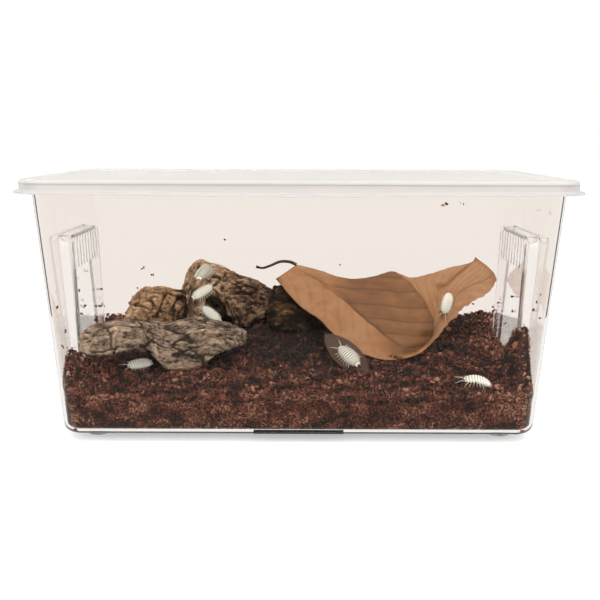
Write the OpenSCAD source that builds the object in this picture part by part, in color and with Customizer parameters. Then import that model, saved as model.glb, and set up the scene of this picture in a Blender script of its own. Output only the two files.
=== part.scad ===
// Clear plastic pet keeper for isopods and other small ground-living animals.
// A tapered clear tub stands on four domed feet and is closed by a loose lid. It holds a bed
// of coir, cork bark hides, dry leaves and the animals.
// Origin: the middle of the footprint, on the surface it stands on. X is the length, -Y is the
// front and +Z is up.

/* [Tub] */
// Outside length of the mouth, below the rim
mouth_len = 330; // [322:1:340]
// Outside width of the mouth, below the rim
mouth_wid = 201; // [196:1:210]
// Height of the tub from its underside to its rim
tub_h = 161.5; // [158:0.5:170]
// How far each wall leans in from the mouth to the base
draft = 13; // [12:0.5:15]
// Thickness of the walls
wall = 2; // [1.8:0.1:2.4]
// Thickness of the floor
floor_t = 2.5; // [2:0.1:3]
// Outside radius of the upright corners
corner_r = 13; // [11:0.5:16]
// Outside radius round the underside
base_r = 6; // [4:0.5:7]
// How far the rim turns out from the wall
rim_out = 4.5; // [4:0.5:6]
// Thickness of the rim
rim_t = 2; // [1.6:0.1:2.4]

/* [Handle recesses] */
// Half the length of each recess
grip_half = 40; // [36:1:42]
// Height of the ledge that the fingers lift by, above the underside
grip_top = 122; // [116:1:126]
// Depth of the recess at the ledge
grip_deep = 9.4; // [8:0.2:10]
// Depth of the recess at the underside
grip_shallow = 5.6; // [5:0.2:6]
// Radius of the recess's two upper corners
grip_corner = 5; // [4:0.5:6]
// Height of the ribbed band under the ledge
rib_band = 20.5; // [16:0.5:24]
// Number of upright ribs in the band
rib_count = 9; // [7:1:9]
// How far a rib stands out
rib_h = 0.9; // [0.5:0.1:1.2]

/* [Lid] */
// Gap between the lid and the rim under it
lid_gap = 0.3; // [0.3:0.1:0.5]
// Gap between the rim's edge and the lid's skirt
skirt_gap = 0.9; // [0.6:0.1:1.2]
// Thickness of the lid
lid_t = 1.6; // [1.4:0.1:2]
// How far the lid reaches below the rim
skirt_drop = 6.8; // [6:0.2:9]
// How far the flange round the skirt's foot stands out
flange_out = 3.4; // [3:0.2:5]
// Thickness of the flange
flange_t = 1.8; // [1.6:0.1:2.2]
// Width of the raised border round the top
border = 12; // [10:1:16]
// How far the top's middle panel is sunk below the border
panel_drop = 1.2; // [0.8:0.1:1.4]
// How far the flange dips between the corners
sag = 1.2; // [0:0.1:1.5]
// How far the finger tab stands out from the flange, front and rear
tab_out = 3; // [2:0.5:4]

/* [Feet] */
// Height of a foot
foot_h = 5; // [4:0.5:6]
// Radius of a foot at the tub
foot_r = 9.5; // [9:0.5:12]
// Radius of the flat that a foot stands on
foot_flat = 4; // [3:0.5:5]
// Distance from a foot's middle to the two walls beside it, at the base
foot_in = 20.5; // [18:0.5:22]

/* [Contents] */
// Depth of the coir bed at the front wall
bed_front = 22; // [20:1:26]
// Length of an isopod
isopod_len = 17.5; // [15:0.5:18]
// Thickness of the cork bark
cork_t = 9; // [8:0.5:10]
// Thickness of the large leaf
leaf_t = 0.8; // [0.6:0.1:0.9]

/* [Hidden] */

base_z = foot_h;                 // underside of the tub
rim_z = base_z + tub_h;          // top of the rim
ledge_z = base_z + grip_top;
band_z = ledge_z - rib_band;     // foot of the ribbed band
floor_z = base_z + floor_t;
touch = 0.1;                     // gap where a small thing rests on another
settle = 0.9;                    // gap under the bark that rests on the bed
clear = 1.0;                     // gap round anything that lifts out

// ---------- small helpers ----------

function mix(a, b, t) = a + (b - a) * t;
function bump(d, r) = exp(-(d / r) * (d / r));
function unit(a) = a / norm(a);

// A repeatable number from 0 to 1 for a pair of whole numbers
function speckle(i, j) = let (v = sin(i * 129.898 + j * 782.33) * 4375.85) v - floor(v);

// A smooth curve through the rows of a table, at row number s
function spline_at(rows, s) =
    let (
        last = len(rows) - 1,
        k = min(last - 1, floor(s)),
        t = s - k,
        a = rows[max(0, k - 1)], b = rows[k], c = rows[k + 1], d = rows[min(last, k + 2)]
    )
    b + t * ((c - a) / 2 + t * ((a - 2.5 * b + 2 * c - d / 2) + t * (1.5 * (b - c) + (d - a) / 2)));

// Skins rings of equal length into one closed body, with a fan over each end
module skin(rings, start, finish) {
    n = len(rings[0]);
    rows = len(rings);
    points = concat([for (ring = rings) each ring], [start, finish]);
    sides = [
        for (k = [0 : rows - 2], i = [0 : n - 1])
            let (a = k * n + i, b = k * n + (i + 1) % n)
            each [[a, a + n, b], [b, a + n, b + n]]
    ];
    first = [for (i = [0 : n - 1]) [i, (i + 1) % n, rows * n]];
    final = [for (i = [0 : n - 1])
        [(rows - 1) * n + (i + 1) % n, (rows - 1) * n + i, rows * n + 1]];
    polyhedron(points, concat(sides, first, final));
}

function middle(ring) = [for (p = ring) 1] * ring / len(ring);

// ---------- tub ----------

function lean(z) = draft * (rim_z - z) / tub_h;
function half_len(z) = mouth_len / 2 - lean(z);
function half_wid(z) = mouth_wid / 2 - lean(z);
function grip_x(z) = mix(half_len(base_z) - grip_shallow, half_len(ledge_z) - grip_deep,
    (z - base_z) / grip_top);
// The recess narrows towards its rounded upper corners
function grip_y(z) = let (up = max(0, z - (ledge_z - grip_corner)))
    grip_half - grip_corner + sqrt(max(0, grip_corner * grip_corner - up * up));

corner_steps = 6;
rib_steps = 4;
lip = 1;                         // the recess's side walls lean by this much
ledge_slope = 0.2;               // the ledge falls by this much from the wall into the recess

function corner(cx, cy, r, start) = [
    for (i = [0 : corner_steps])
        let (a = start + 90 * i / corner_steps)
        [cx + r * cos(a), cy + r * sin(a)]
];

// Half of the tub's outline, from the front corner round the +X end to the rear corner
function end_outline(hx, hy, r, gx, gy, ribs) = concat(
    corner(hx - r, r - hy, r, -90),
    [[hx, -gy - lip]],
    [
        for (i = [0 : rib_count * rib_steps])
            [gx + ribs * (1 - cos(360 * i / rib_steps)) / 2, mix(-gy, gy, i / (rib_count * rib_steps))]
    ],
    [[hx, gy + lip]],
    corner(hx - r, hy - r, r, 0)
);

function tub_outline(hx, hy, r, gx, gy, ribs = 0) =
    let (half = end_outline(hx, hy, r, gx, gy, ribs))
    concat(half, [for (p = half) -p]);

function lifted(outline, z) = [for (p = outline) [p[0], p[1], z]];

// A ring of the tub, inset from its outer face; with_grip says whether the recess cuts it
function tub_ring(z, inset, with_grip, ribs = 0, out = 0, flare = 0) =
    let (
        hx = half_len(z) - inset + out,
        hy = half_wid(z) - inset + out,
        gy = (with_grip ? grip_y(z - inset) : grip_half) + inset,
        gx = with_grip ? grip_x(z) - inset : hx
    )
    lifted(tub_outline(hx, hy, max(1, corner_r - inset + out), gx - flare, gy, ribs), z);

module tub() {
    color([0.9, 0.93, 0.95, 0.35])
    skin(
        concat(
            [for (a = [0 : 30 : 90]) let (z = base_z + base_r * (1 - cos(a)))
                let (tuck = base_r * (1 - sin(a)))
                lifted(tub_outline(half_len(z) - tuck, half_wid(z) - tuck, corner_r - tuck,
                    grip_x(z) - tuck, grip_half), z)],
            [tub_ring(band_z, 0, true)],
            [for (z = [band_z + 1, ledge_z - grip_corner]) tub_ring(z, 0, true, rib_h)],
            [for (a = [30, 60, 84]) tub_ring(ledge_z - grip_corner * (1 - sin(a)), 0, true, rib_h)],
            [tub_ring(ledge_z + ledge_slope, 0, false)],
            [tub_ring(rim_z - rim_t, 0, false)],
            [for (z = [rim_z - rim_t, rim_z]) tub_ring(z, 0, false, 0, rim_out + lean(z))],
            [tub_ring(rim_z, wall, false)],
            [tub_ring(ledge_z + wall + ledge_slope, wall, false)],
            [for (a = [84, 60, 30, 0]) tub_ring(ledge_z + wall - grip_corner * (1 - sin(a)), wall, true)],
            [tub_ring(floor_z + base_r, wall, true)],
            [for (a = [45, 0]) let (z = floor_z + (base_r - wall) * (1 - cos(a)))
                let (tuck = wall + (base_r - wall) * (1 - sin(a)))
                lifted(tub_outline(half_len(z) - tuck, half_wid(z) - tuck, corner_r - tuck,
                    grip_x(z) - tuck, grip_half + wall), z)]
        ),
        [0, 0, base_z], [0, 0, floor_z]
    );
}

// ---------- lid ----------

lid_under = rim_z + lid_gap;
lid_top = lid_under + lid_t;
lid_foot = rim_z - skirt_drop;
skirt_x = mouth_len / 2 + rim_out + skirt_gap;   // inside of the skirt
skirt_y = mouth_wid / 2 + rim_out + skirt_gap;
skirt_r = corner_r + rim_out + skirt_gap;
tab_half = 11;
panel_slope = 1.5;               // the step between border and panel leans by this much

// Points along a long side; the tab and the sag are worked out at each
function lid_side(hy, tab) = [
    for (x = concat([for (k = [-5 : -1]) k * 27], [-tab_half, -8, 0, 8, tab_half],
        [for (k = [1 : 5]) k * 27]))
        [x, -hy - tab * (abs(x) < tab_half ? 1 : 0)]
];
function lid_outline(hx, hy, r, tab = 0) =
    let (half = concat(lid_side(hy, tab), corner(hx - r, r - hy, r, -90),
        corner(hx - r, hy - r, r, 0)))
    concat(half, [for (p = half) -p]);
function lid_ring(out, z, dip = 0, tab = 0) = [
    for (p = lid_outline(skirt_x + out, skirt_y + out, max(1, skirt_r + out), tab))
        [p[0], p[1], z - dip * pow(cos(90 * min(1, abs(p[0]) / skirt_x)), 2)]
];

module lid() {
    color([0.97, 0.96, 0.95, 0.75])
    skin(
        [
            lid_ring(-border - panel_slope, lid_under - panel_drop),
            lid_ring(-border, lid_under),
            lid_ring(0, lid_under),
            lid_ring(0, lid_foot, sag),
            lid_ring(lid_t + flange_out, lid_foot, sag, tab_out),
            lid_ring(lid_t + flange_out, lid_foot + flange_t, sag, tab_out),
            lid_ring(lid_t, lid_foot + flange_t, sag),
            lid_ring(lid_t, lid_top - 2),
            lid_ring(lid_t - 0.6, lid_top - 0.6),
            lid_ring(lid_t - 2, lid_top),
            lid_ring(-border, lid_top),
            lid_ring(-border - panel_slope, lid_top - panel_drop)
        ],
        [0, 0, lid_under - panel_drop], [0, 0, lid_top - panel_drop]
    );
}

// ---------- feet and label ----------

// One domed foot under a corner, sx and sy being -1 or 1
module foot(sx, sy) {
    color([0.88, 0.9, 0.93, 0.6])
    translate([sx * (half_len(base_z) - foot_in), sy * (half_wid(base_z) - foot_in), 0])
    rotate_extrude($fn = 48)
    polygon(concat(
        [[0, 0], [foot_flat, 0]],
        [for (a = [15 : 15 : 90]) [foot_flat + (foot_r - foot_flat) * sin(a),
            (foot_h - 0.6) * (1 - cos(a))]],
        [[foot_r, foot_h], [0, foot_h]]
    ));
}
module foot_front_left() foot(-1, -1);
module foot_front_right() foot(1, -1);
module foot_rear_left() foot(-1, 1);
module foot_rear_right() foot(1, 1);

label_size = [58, 30, 0.3];
module base_label() {
    color([0.12, 0.12, 0.13])
    translate([-label_size[0] / 2, base_r - half_wid(base_z), base_z - label_size[2]])
    cube(label_size);
}

// ---------- coir bed ----------

// Banks and dips of the bed: [x, y, height, reach along x, reach along y]
BANKS = [
    [0, 16, 11, 46, 24],         // heap under the leaf
    [-150, -62, 20, 9, 22],      // bank in the front left corner
    [152, -46, 34, 13, 22],      // bank against the right end
    [150, 62, 8, 30, 24],
    [-96, 60, 6, 50, 30],
    [-60, -62, 4, 46, 16],
    [38, -26, 3, 26, 16]
];
// Loose coir heaps into clumps about 16 mm apart
clump_h = 1.3;
function clumps(x, y) = clump_h * sin(x * 21 + 60 * sin(y * 9)) * sin(y * 23 + 50 * sin(x * 7));
function bed_z(x, y) =
    base_z + floor_t + bed_front + clumps(x, y)
    + (y < 0 ? max(0, y + 84) * 0.19 : 84 * 0.19 + y * 0.06)
    + 0.8 * sin(x * 7 + 40) * sin(y * 9) + 0.5 * sin(x * 17 + y * 11)
    + [for (b = BANKS) 1] * [for (b = BANKS) b[2] * bump(x - b[0], b[3]) * bump(y - b[1], b[4])];

bed_gap = 0.3;
bed_rows = 36;
bed_columns = 60;
bed_notch = grip_half + wall + lip + bed_gap;
// How far the bed reaches round the middle of a corner, tuck being its inset near the floor
function bed_reach(tuck) = corner_r - wall - bed_gap - tuck;
function bed_half_wid(z, tuck) = half_wid(z) - corner_r + bed_reach(tuck);
// Half the bed's length at y, where the recesses and the corners take some of it
function bed_half_len(y, z, tuck) =
    let (into = max(0, abs(y) - (half_wid(z) - corner_r)), reach = bed_reach(tuck))
    abs(y) < bed_notch + 0.1 ? grip_x(z) - wall - bed_gap - tuck
    : half_len(z) - corner_r + sqrt(max(0, reach * reach - into * into));
// The rows run evenly between the recesses, and evenly from them to the long walls
bed_inner = 8;
function bed_y(j, far) =
    let (k = j - bed_rows / 2, outer = bed_rows / 2 - bed_inner)
    abs(k) <= bed_inner ? k / bed_inner * bed_notch
    : sign(k) * mix(bed_notch + 1.2, far, (abs(k) - bed_inner - 1) / (outer - 1));
function bed_point(i, j, z, tuck) =
    let (y = bed_y(j, bed_half_wid(z, tuck)))
    [mix(-1, 1, i / bed_columns) * bed_half_len(y, z, tuck), y];
function bed_top(i, j) =
    let (guess = bed_point(i, j, 40, 0), z = bed_z(guess[0], guess[1]), p = bed_point(i, j, z, 0))
    [p[0], p[1], z];
function bed_foot(i, j, z, tuck) = let (p = bed_point(i, j, z, tuck)) [p[0], p[1], z];

// The grid's edge as one ring of grid places
bed_edge = concat(
    [for (i = [0 : bed_columns - 1]) [i, 0]],
    [for (j = [0 : bed_rows - 1]) [bed_columns, j]],
    [for (i = [bed_columns : -1 : 1]) [i, bed_rows]],
    [for (j = [bed_rows : -1 : 1]) [0, j]]
);

module substrate_bed() {
    n = len(bed_edge);
    w = bed_columns + 1;
    top = [for (j = [0 : bed_rows], i = [0 : bed_columns]) bed_top(i, j)];
    m = len(top);
    rings = concat(
        [for (e = bed_edge) bed_foot(e[0], e[1], floor_z + base_r, 0)],
        [for (e = bed_edge) bed_foot(e[0], e[1], floor_z + touch, base_r - wall)],
        [[0, 0, floor_z + touch]]
    );
    function place(k) = bed_edge[k % n][1] * w + bed_edge[k % n][0];
    faces = concat(
        [for (j = [0 : bed_rows - 1], i = [0 : bed_columns - 1]) let (a = j * w + i)
            each [[a, a + w, a + 1], [a + 1, a + w, a + w + 1]]],
        [for (k = [0 : n - 1]) each [[place(k), place(k + 1), m + k],
            [place(k + 1), m + (k + 1) % n, m + k]]],
        [for (k = [0 : n - 1]) each [[m + k, m + (k + 1) % n, m + n + k],
            [m + (k + 1) % n, m + n + (k + 1) % n, m + n + k]]],
        [for (k = [0 : n - 1]) [m + n + k, m + n + (k + 1) % n, m + 2 * n]]
    );
    color([0.28, 0.15, 0.11])
    polyhedron(concat(top, rings), faces);
}

// ---------- cork bark ----------

// A curved plate of bark. Each row of the table is a cut across it:
// [x, y and z of the front edge, y and z of the rear edge, height of the arch]
SLAB_FRONT = [
    [-148, -52, 55, -46, 61, 1],
    [-142, -58, 53, -42, 68, 5],
    [-128, -58, 52, -37, 71, 6],
    [-113, -54, 55, -31, 72, 6],
    [-100, -52, 53, -25, 68, 6],
    [-88, -53, 41, -21, 67, 5],
    [-72, -51, 41, -16, 70, 5],
    [-57, -46, 48, -14, 67, 5],
    [-44, -38, 53, -16, 64, 4],
    [-36, -28, 57, -22, 60, 1]
];
HUMP_BACK = [
    [-91, 47, 66, 62, 64, 10],
    [-86, 42, 58, 74, 54, 36],
    [-77, 22, 57, 77, 53, 46],
    [-68, 20, 78, 78, 53, 34],
    [-58, 21, 78, 78, 53, 31],
    [-50, 18, 64, 76, 53, 34],
    [-40, 18, 59, 74, 53, 33],
    [-30, 29, 62, 72, 53, 27],
    [-20, 40, 64, 66, 56, 18]
];
BLOCK_LEFT = [
    [-128, 16, 56, 28, 56, 8],
    [-122, 8, 54, 36, 54, 24],
    [-112, 8, 54, 38, 54, 31],
    [-100, 8, 54, 39, 54, 31],
    [-92, 8, 55, 38, 54, 29],
    [-84, 9, 56, 36, 55, 28]
];
BARK_REAR_RIGHT = [
    [-23, 8, 62, 26, 60, 16],
    [-17, 3, 58, 31, 59, 28.5],
    [-8, 2, 58, 34, 59, 27],
    [2, 3, 58, 36, 59, 21],
    [12, 6, 58, 36, 59, 15],
    [19, 12, 60, 32, 59, 7]
];

// The outward direction of a cut, square to the line between its edges
function cut_out(c) = let (d = [c[3] - c[1], c[4] - c[2]]) [-d[1], d[0]] / norm(d);

// A point on the bark: s is the row, t runs 0 to 1 from the front edge to the rear edge and
// in is how far the point lies below the outer face
function bark_point(table, s, t, in = 0) =
    let (
        c = spline_at(table, s),
        o = cut_out(c),
        rise = c[5] * sin(180 * t) - in
    )
    [c[0], mix(c[1], c[3], t) + o[0] * rise, mix(c[2], c[4], t) + o[1] * rise];

bark_across = 9;
bark_grain = 1.1;
// Bark is never lower than the bed under it
function on_bed(p, gap) = [p[0], p[1], max(p[2], bed_z(p[0], p[1]) + gap)];
function bark_ring(table, s, thick, gap) = [
    for (k = [0 : 2 * bark_across + 1])
        let (
            outer = k <= bark_across,
            t = (outer ? k : 2 * bark_across + 1 - k) / bark_across,
            rough = bark_grain * (speckle(floor(s * 3 + 0.5) + 7, k) - 0.5),
            in = outer ? rough : rough + thick * (0.3 + 0.7 * sin(180 * t))
        )
        on_bed(bark_point(table, s, t, in), gap + (outer ? 0.5 : 0))
];
module bark(table, thick, gap, shade) {
    steps = 3 * (len(table) - 1);
    rings = [for (k = [0 : steps]) bark_ring(table, k / 3, thick, gap)];
    color(shade)
    skin(rings, middle(rings[0]), middle(rings[steps]));
}

module cork_slab_front() bark(SLAB_FRONT, cork_t, clear, [0.5, 0.44, 0.38]);
module cork_block_left() bark(BLOCK_LEFT, cork_t, settle, [0.47, 0.37, 0.28]);
module cork_hump_back() bark(HUMP_BACK, cork_t, settle, [0.42, 0.35, 0.27]);
module cork_bark_rear_right() bark(BARK_REAR_RIGHT, cork_t, settle, [0.25, 0.2, 0.15]);

// ---------- leaves ----------

// The large leaf, cut across from its base to its tip. Each row holds the lower edge, the
// midrib, the middle of the upper half and the upper edge
LEAF = [
    [[-17, 16, 92], [-10, 22, 96], [-5, 26, 99], [-2, 28, 101]],
    [[0, 2, 75], [11, 16, 89], [15, 20, 93], [15, 26, 97]],
    [[15, -14, 67], [29, 0, 79], [35, 8, 87], [35, 18, 92]],
    [[32, -26, 52], [45, -8, 66], [55, 2, 79], [53, 16, 94]],
    [[53, -32, 44], [63, -18, 52], [77, -6, 73], [66, 14, 98]],
    [[70, -30, 43], [75, -20, 46], [91, -8, 68], [74, 14, 96]],
    [[87, -18, 46], [94, -6, 53], [101, 6, 67], [82, 18, 93]],
    [[106, 4, 59], [105, 9, 67], [102, 15, 81], [96, 24, 95]],
    [[122, 12, 74], [118, 17, 83], [114, 23, 92], [112, 30, 99]],
    [[137, 17, 81], [136, 21, 91], [132, 25, 99], [127, 30, 103]],
    [[145, 22, 91], [143, 24, 96], [138, 27, 101], [130, 30, 107]]
];
function leaf_mid(u, v) = spline_at([for (k = [0 : 3]) spline_at([for (row = LEAF) row[k]], u)], v);
function leaf_normal(u, v) =
    let (
        e = 0.05,
        du = leaf_mid(min(10, u + e), v) - leaf_mid(max(0, u - e), v),
        dv = leaf_mid(u, min(3, v + e)) - leaf_mid(u, max(0, v - e)),
        n = cross(du, dv)
    ) unit(n);
function leaf_face(u, v, side) = leaf_mid(u, v) + side * leaf_t / 2 * leaf_normal(u, v);

leaf_steps = 3;                  // cuts between two rows of the table
leaf_across = 9;

// Two faces of a thin sheet on a grid, joined round the edge; face(i, j, side) gives a point
module sheet(front, back, columns, rows) {
    w = columns + 1;
    m = w * (rows + 1);
    rim = concat(
        [for (i = [0 : columns - 1]) i],
        [for (j = [0 : rows - 1]) j * w + columns],
        [for (i = [columns : -1 : 1]) rows * w + i],
        [for (j = [rows : -1 : 1]) j * w]
    );
    polyhedron(concat(front, back), concat(
        [for (j = [0 : rows - 1], i = [0 : columns - 1]) let (a = j * w + i)
            each [[a, a + w, a + 1], [a + 1, a + w, a + w + 1]]],
        [for (j = [0 : rows - 1], i = [0 : columns - 1]) let (a = m + j * w + i)
            each [[a, a + 1, a + w], [a + 1, a + w + 1, a + w]]],
        [for (k = [0 : len(rim) - 1]) let (a = rim[k], b = rim[(k + 1) % len(rim)])
            each [[a, b, m + a], [b, m + b, m + a]]]
    ));
}

// A round stalk through the given points
STALK = [[-2, 28, 101], [-7, 29, 103], [-14, 30, 103], [-21, 31, 100], [-27, 32, 98], [-32, 32, 99]];
stalk_r = 1;
module stalk() {
    rings = [for (k = [0 : 2 * (len(STALK) - 1)])
        let (
            s = k / 2,
            d = spline_at(STALK, min(len(STALK) - 1, s + 0.1)) - spline_at(STALK, max(0, s - 0.1)),
            f = unit(d),
            side = unit(cross(f, [0, 0, 1])),
            up = cross(side, f),
            p = spline_at(STALK, s)
        )
        [for (i = [0 : 7]) p + stalk_r * (cos(45 * i) * side - sin(45 * i) * up)]];
    skin(rings, middle(rings[0]), middle(rings[len(rings) - 1]));
}

module leaf_large() {
    columns = leaf_steps * (len(LEAF) - 1);
    front = [for (j = [0 : leaf_across], i = [0 : columns])
        leaf_face(i / leaf_steps, 3 * j / leaf_across, 1)];
    back = [for (j = [0 : leaf_across], i = [0 : columns])
        leaf_face(i / leaf_steps, 3 * j / leaf_across, -1)];
    color([0.69, 0.51, 0.37]) {
        sheet(front, back, columns, leaf_across);
        stalk();
    }
}

// The small leaf leans on the heap: an oval, pointed at both ends and a little cupped
small_leaf_at = [33, -34.2, 46];
small_leaf_along = [14, -12, -11];
small_leaf_out = [-0.15, -0.75, 0.64];
small_leaf_len = 44;
small_leaf_wid = 18;
small_leaf_t = 0.8;
small_leaf_cup = 2;
// up lifts the point towards the leaf's face
function small_leaf_point(u, v, up) =
    let (
        a = unit(small_leaf_along),
        b = unit(cross(small_leaf_out, a)),
        n = cross(a, b),
        taper = 0.04 + 0.96 * pow(cos(90 * u), 0.7)
    )
    on_bed(small_leaf_at + a * u * small_leaf_len / 2 + b * v * taper * small_leaf_wid / 2
        + n * (small_leaf_cup * (v * v * taper + u * u) + up), clear + max(0, up));
module leaf_small() {
    columns = 14;
    rows = 4;
    lower = [for (j = [0 : rows], i = [0 : columns])
        small_leaf_point(mix(-1, 1, i / columns), mix(-1, 1, j / rows), 0)];
    upper = [for (j = [0 : rows], i = [0 : columns])
        small_leaf_point(mix(-1, 1, i / columns), mix(-1, 1, j / rows), small_leaf_t)];
    color([0.36, 0.25, 0.2])
    sheet(upper, lower, columns, rows);
}

// ---------- isopods ----------

isopod_wid = 8.6;
isopod_tall = 4.6;
isopod_rings = 13;
// A low oval body whose plates overlap like scales. at is under its belly, ahead is the way it
// faces, up is away from what it stands on and grown scales it
module isopod(at, ahead, up, grown = 1) {
    f = unit(ahead);
    s = unit(cross(up, f));
    n = cross(f, s);
    rings = [for (k = [0 : isopod_rings])
        let (
            t = mix(-0.97, 0.97, k / isopod_rings),
            fat = pow(1 - t * t, 0.36) * (k % 2 == 0 ? 1 : 0.93)
        )
        [for (i = [0 : 9]) let (a = 36 * i + 18)
            at + grown * (f * (t * isopod_len / 2) - s * (isopod_wid / 2 * fat * cos(a))
                + n * (isopod_tall * (0.5 + 0.5 * fat * sin(a) * (sin(a) < 0 ? 0.75 : 1))))]];
    color([0.9, 0.9, 0.82])
    skin(rings, middle(rings[0]), middle(rings[isopod_rings]));
}

// An isopod on the outer face of the hump, at row s and place t, heading for row s2 and place t2
module isopod_on_hump(s, t, s2, t2, grown, gap) {
    here = bark_point(HUMP_BACK, s, t);
    out = cross(bark_point(HUMP_BACK, s + 0.3, t) - bark_point(HUMP_BACK, s - 0.3, t),
        bark_point(HUMP_BACK, s, t + 0.06) - bark_point(HUMP_BACK, s, t - 0.06));
    isopod(here + unit(out) * gap, bark_point(HUMP_BACK, s2, t2) - here, out, grown);
}

module isopod_1() isopod_on_hump(2.65, 0.2, 3.25, 0.36, 1, 1.2);
module isopod_2() isopod([-70, 15, 81], [13, 4, 10], [-0.2, -1, 0.45]);
module isopod_3() isopod([-64, 8, 66.5], [-11, 2, 9], [0.2, -0.85, 0.8], 0.95);
module isopod_4() isopod([-109, -38, bed_z(-109, -38) + 1.6], [-14, -7, -1], [0, -0.35, 1], 0.95);
module isopod_5() isopod(small_leaf_at + unit(small_leaf_out) * 1.2 + unit(small_leaf_along) * 2,
    -small_leaf_along, small_leaf_out, 1.1);
module isopod_6() {
    u = 7.3;
    v = 1.05;
    isopod(leaf_mid(u, v) + leaf_normal(u, v) * (leaf_t / 2 + 0.3),
        leaf_mid(7.0, 0.5) - leaf_mid(7.5, 1.7), leaf_normal(u, v), 0.95);
}
module isopod_7() isopod([117, -65, bed_z(117, -65) + 0.6], [-14, 0, 2.5], [0, -0.3, 1], 1.12);

// ---------- coir crumbs stuck to the end walls ----------

// Each crumb is an uneven six-pointed grain whose outer point touches the wall
function crumb_reach(size, seed, k) = size * (0.6 + 0.8 * speckle(seed, k));
module crumb(p, size, seed) {
    r = [for (k = [0 : 5]) crumb_reach(size, seed, k)];
    polyhedron(
        [p + [r[0], 0, 0], p - [r[1], 0, 0], p + [0, r[2], 0], p - [0, r[3], 0],
            p + [0, 0, r[4]], p - [0, 0, r[5]]],
        [[0, 4, 2], [2, 4, 1], [1, 4, 3], [3, 4, 0], [2, 5, 0], [1, 5, 2], [3, 5, 1], [0, 5, 3]]
    );
}
crumb_most = 1.1;
// Crumbs on one end wall; places are [y, z]
module end_wall_crumbs(side, places) {
    for (k = [0 : len(places) - 1]) {
        y = places[k][0];
        z = places[k][1];
        face = (abs(y) < grip_half + wall + lip ? grip_x(z) : half_len(z)) - wall;
        size = crumb_most * (0.5 + 0.5 * speckle(k, 3));
        reach = crumb_reach(size, k + 1, side > 0 ? 0 : 1);
        crumb([side * (face - reach - touch), y, z], size, k + 1);
    }
}
LEFT_PLACES = [[-40, 92], [30, 82], [-27, 79], [-39, 76], [22, 71], [2, 64], [26, 61], [-75, 86],
    [-59, 56], [-60, 68], [-20, 61], [58, 70], [70, 62], [-72, 60]];
RIGHT_PLACES = [[-25, 87], [-26, 76], [-67, 94], [-55, 82], [76, 62], [36, 66], [-60, 88], [10, 70],
    [50, 66], [-74, 80], [-8, 64], [24, 74]];
module wall_crumbs_left() color([0.45, 0.2, 0.12]) end_wall_crumbs(-1, LEFT_PLACES);
module wall_crumbs_right() color([0.45, 0.2, 0.12]) end_wall_crumbs(1, RIGHT_PLACES);

tub();
lid();
foot_front_left();
foot_front_right();
foot_rear_left();
foot_rear_right();
base_label();
substrate_bed();
cork_slab_front();
cork_block_left();
cork_hump_back();
cork_bark_rear_right();
leaf_large();
leaf_small();
isopod_1();
isopod_2();
isopod_3();
isopod_4();
isopod_5();
isopod_6();
isopod_7();
wall_crumbs_left();
wall_crumbs_right();
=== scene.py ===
"""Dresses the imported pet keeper: clear tub, milky lid, feet, coir bed, cork bark, leaves and isopods."""

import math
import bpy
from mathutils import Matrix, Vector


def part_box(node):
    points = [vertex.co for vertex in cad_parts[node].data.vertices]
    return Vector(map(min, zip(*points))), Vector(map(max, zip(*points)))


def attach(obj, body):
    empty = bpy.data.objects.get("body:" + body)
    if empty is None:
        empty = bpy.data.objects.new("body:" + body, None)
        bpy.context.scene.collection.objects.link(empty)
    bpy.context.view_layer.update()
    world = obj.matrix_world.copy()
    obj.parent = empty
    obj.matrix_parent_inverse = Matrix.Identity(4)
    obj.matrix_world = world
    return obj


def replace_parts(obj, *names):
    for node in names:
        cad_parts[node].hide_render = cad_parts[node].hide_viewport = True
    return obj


bl_info = {
    "name": "Pet keeper",
    "version": (1, 0, 0),
    "blender": (4, 5, 0),
    "location": "View3D > Sidebar > Pet keeper",
    "description": "Builds the visible pieces of a clear pet keeper over its packed model",
    "category": "Object",
}

import bmesh
import bpy
import numpy as np
from bpy.props import FloatProperty, FloatVectorProperty, IntProperty, PointerProperty
from mathutils import Matrix

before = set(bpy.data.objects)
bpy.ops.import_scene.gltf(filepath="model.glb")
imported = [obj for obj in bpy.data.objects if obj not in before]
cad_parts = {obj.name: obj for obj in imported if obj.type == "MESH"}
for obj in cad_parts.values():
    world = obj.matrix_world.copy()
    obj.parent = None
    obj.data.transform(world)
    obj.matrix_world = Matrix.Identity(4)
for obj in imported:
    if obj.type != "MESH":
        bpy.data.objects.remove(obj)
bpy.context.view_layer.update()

MM = 0.001

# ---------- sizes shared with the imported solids, in millimetres ----------

TUB_H = 161.5
WALL = 2.0
FLOOR_T = 2.5
CORNER_R = 13.0
BASE_R = 6.0
RIM_OUT = 4.5
RIM_T = 2.0
GRIP_HALF = 40.0
GRIP_TOP = 122.0
GRIP_DEEP = 9.4
GRIP_SHALLOW = 5.6
GRIP_CORNER = 5.0
RIB_BAND = 20.5
RIB_COUNT = 9
RIB_H = 0.25
FOOT_H = 5.0
BASE_Z = FOOT_H
RIM_Z = BASE_Z + TUB_H
LEDGE_Z = BASE_Z + GRIP_TOP
BAND_Z = LEDGE_Z - RIB_BAND
FLOOR_Z = BASE_Z + FLOOR_T


# ---------- numbers and noise ----------


def mix(a, b, t):
    """A number on the way from a, at t = 0, to b, at t = 1."""
    return a + (b - a) * t


def unit(v):
    """Directions of length 1."""
    v = np.asarray(v, float)
    return v / np.linalg.norm(v, axis=-1, keepdims=True)


def bell(away, wide):
    """1 where away is 0, falling off to both sides of it."""
    return np.exp(-(away / wide) ** 2)


def smooth(t):
    """0 up to t = 0, 1 from t = 1 on, and an even slope between."""
    t = np.clip(t, 0, 1)
    return t * t * (3 - 2 * t)


LATTICE_SIZE = 8192
LATTICE = np.random.default_rng(11).random(LATTICE_SIZE)
# Large numbers, which scatter neighbouring cells and seeds over the lattice
X_STEP, Y_STEP, Z_STEP, SEED_STEP = 73856093, 19349663, 83492791, 2654435


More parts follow.
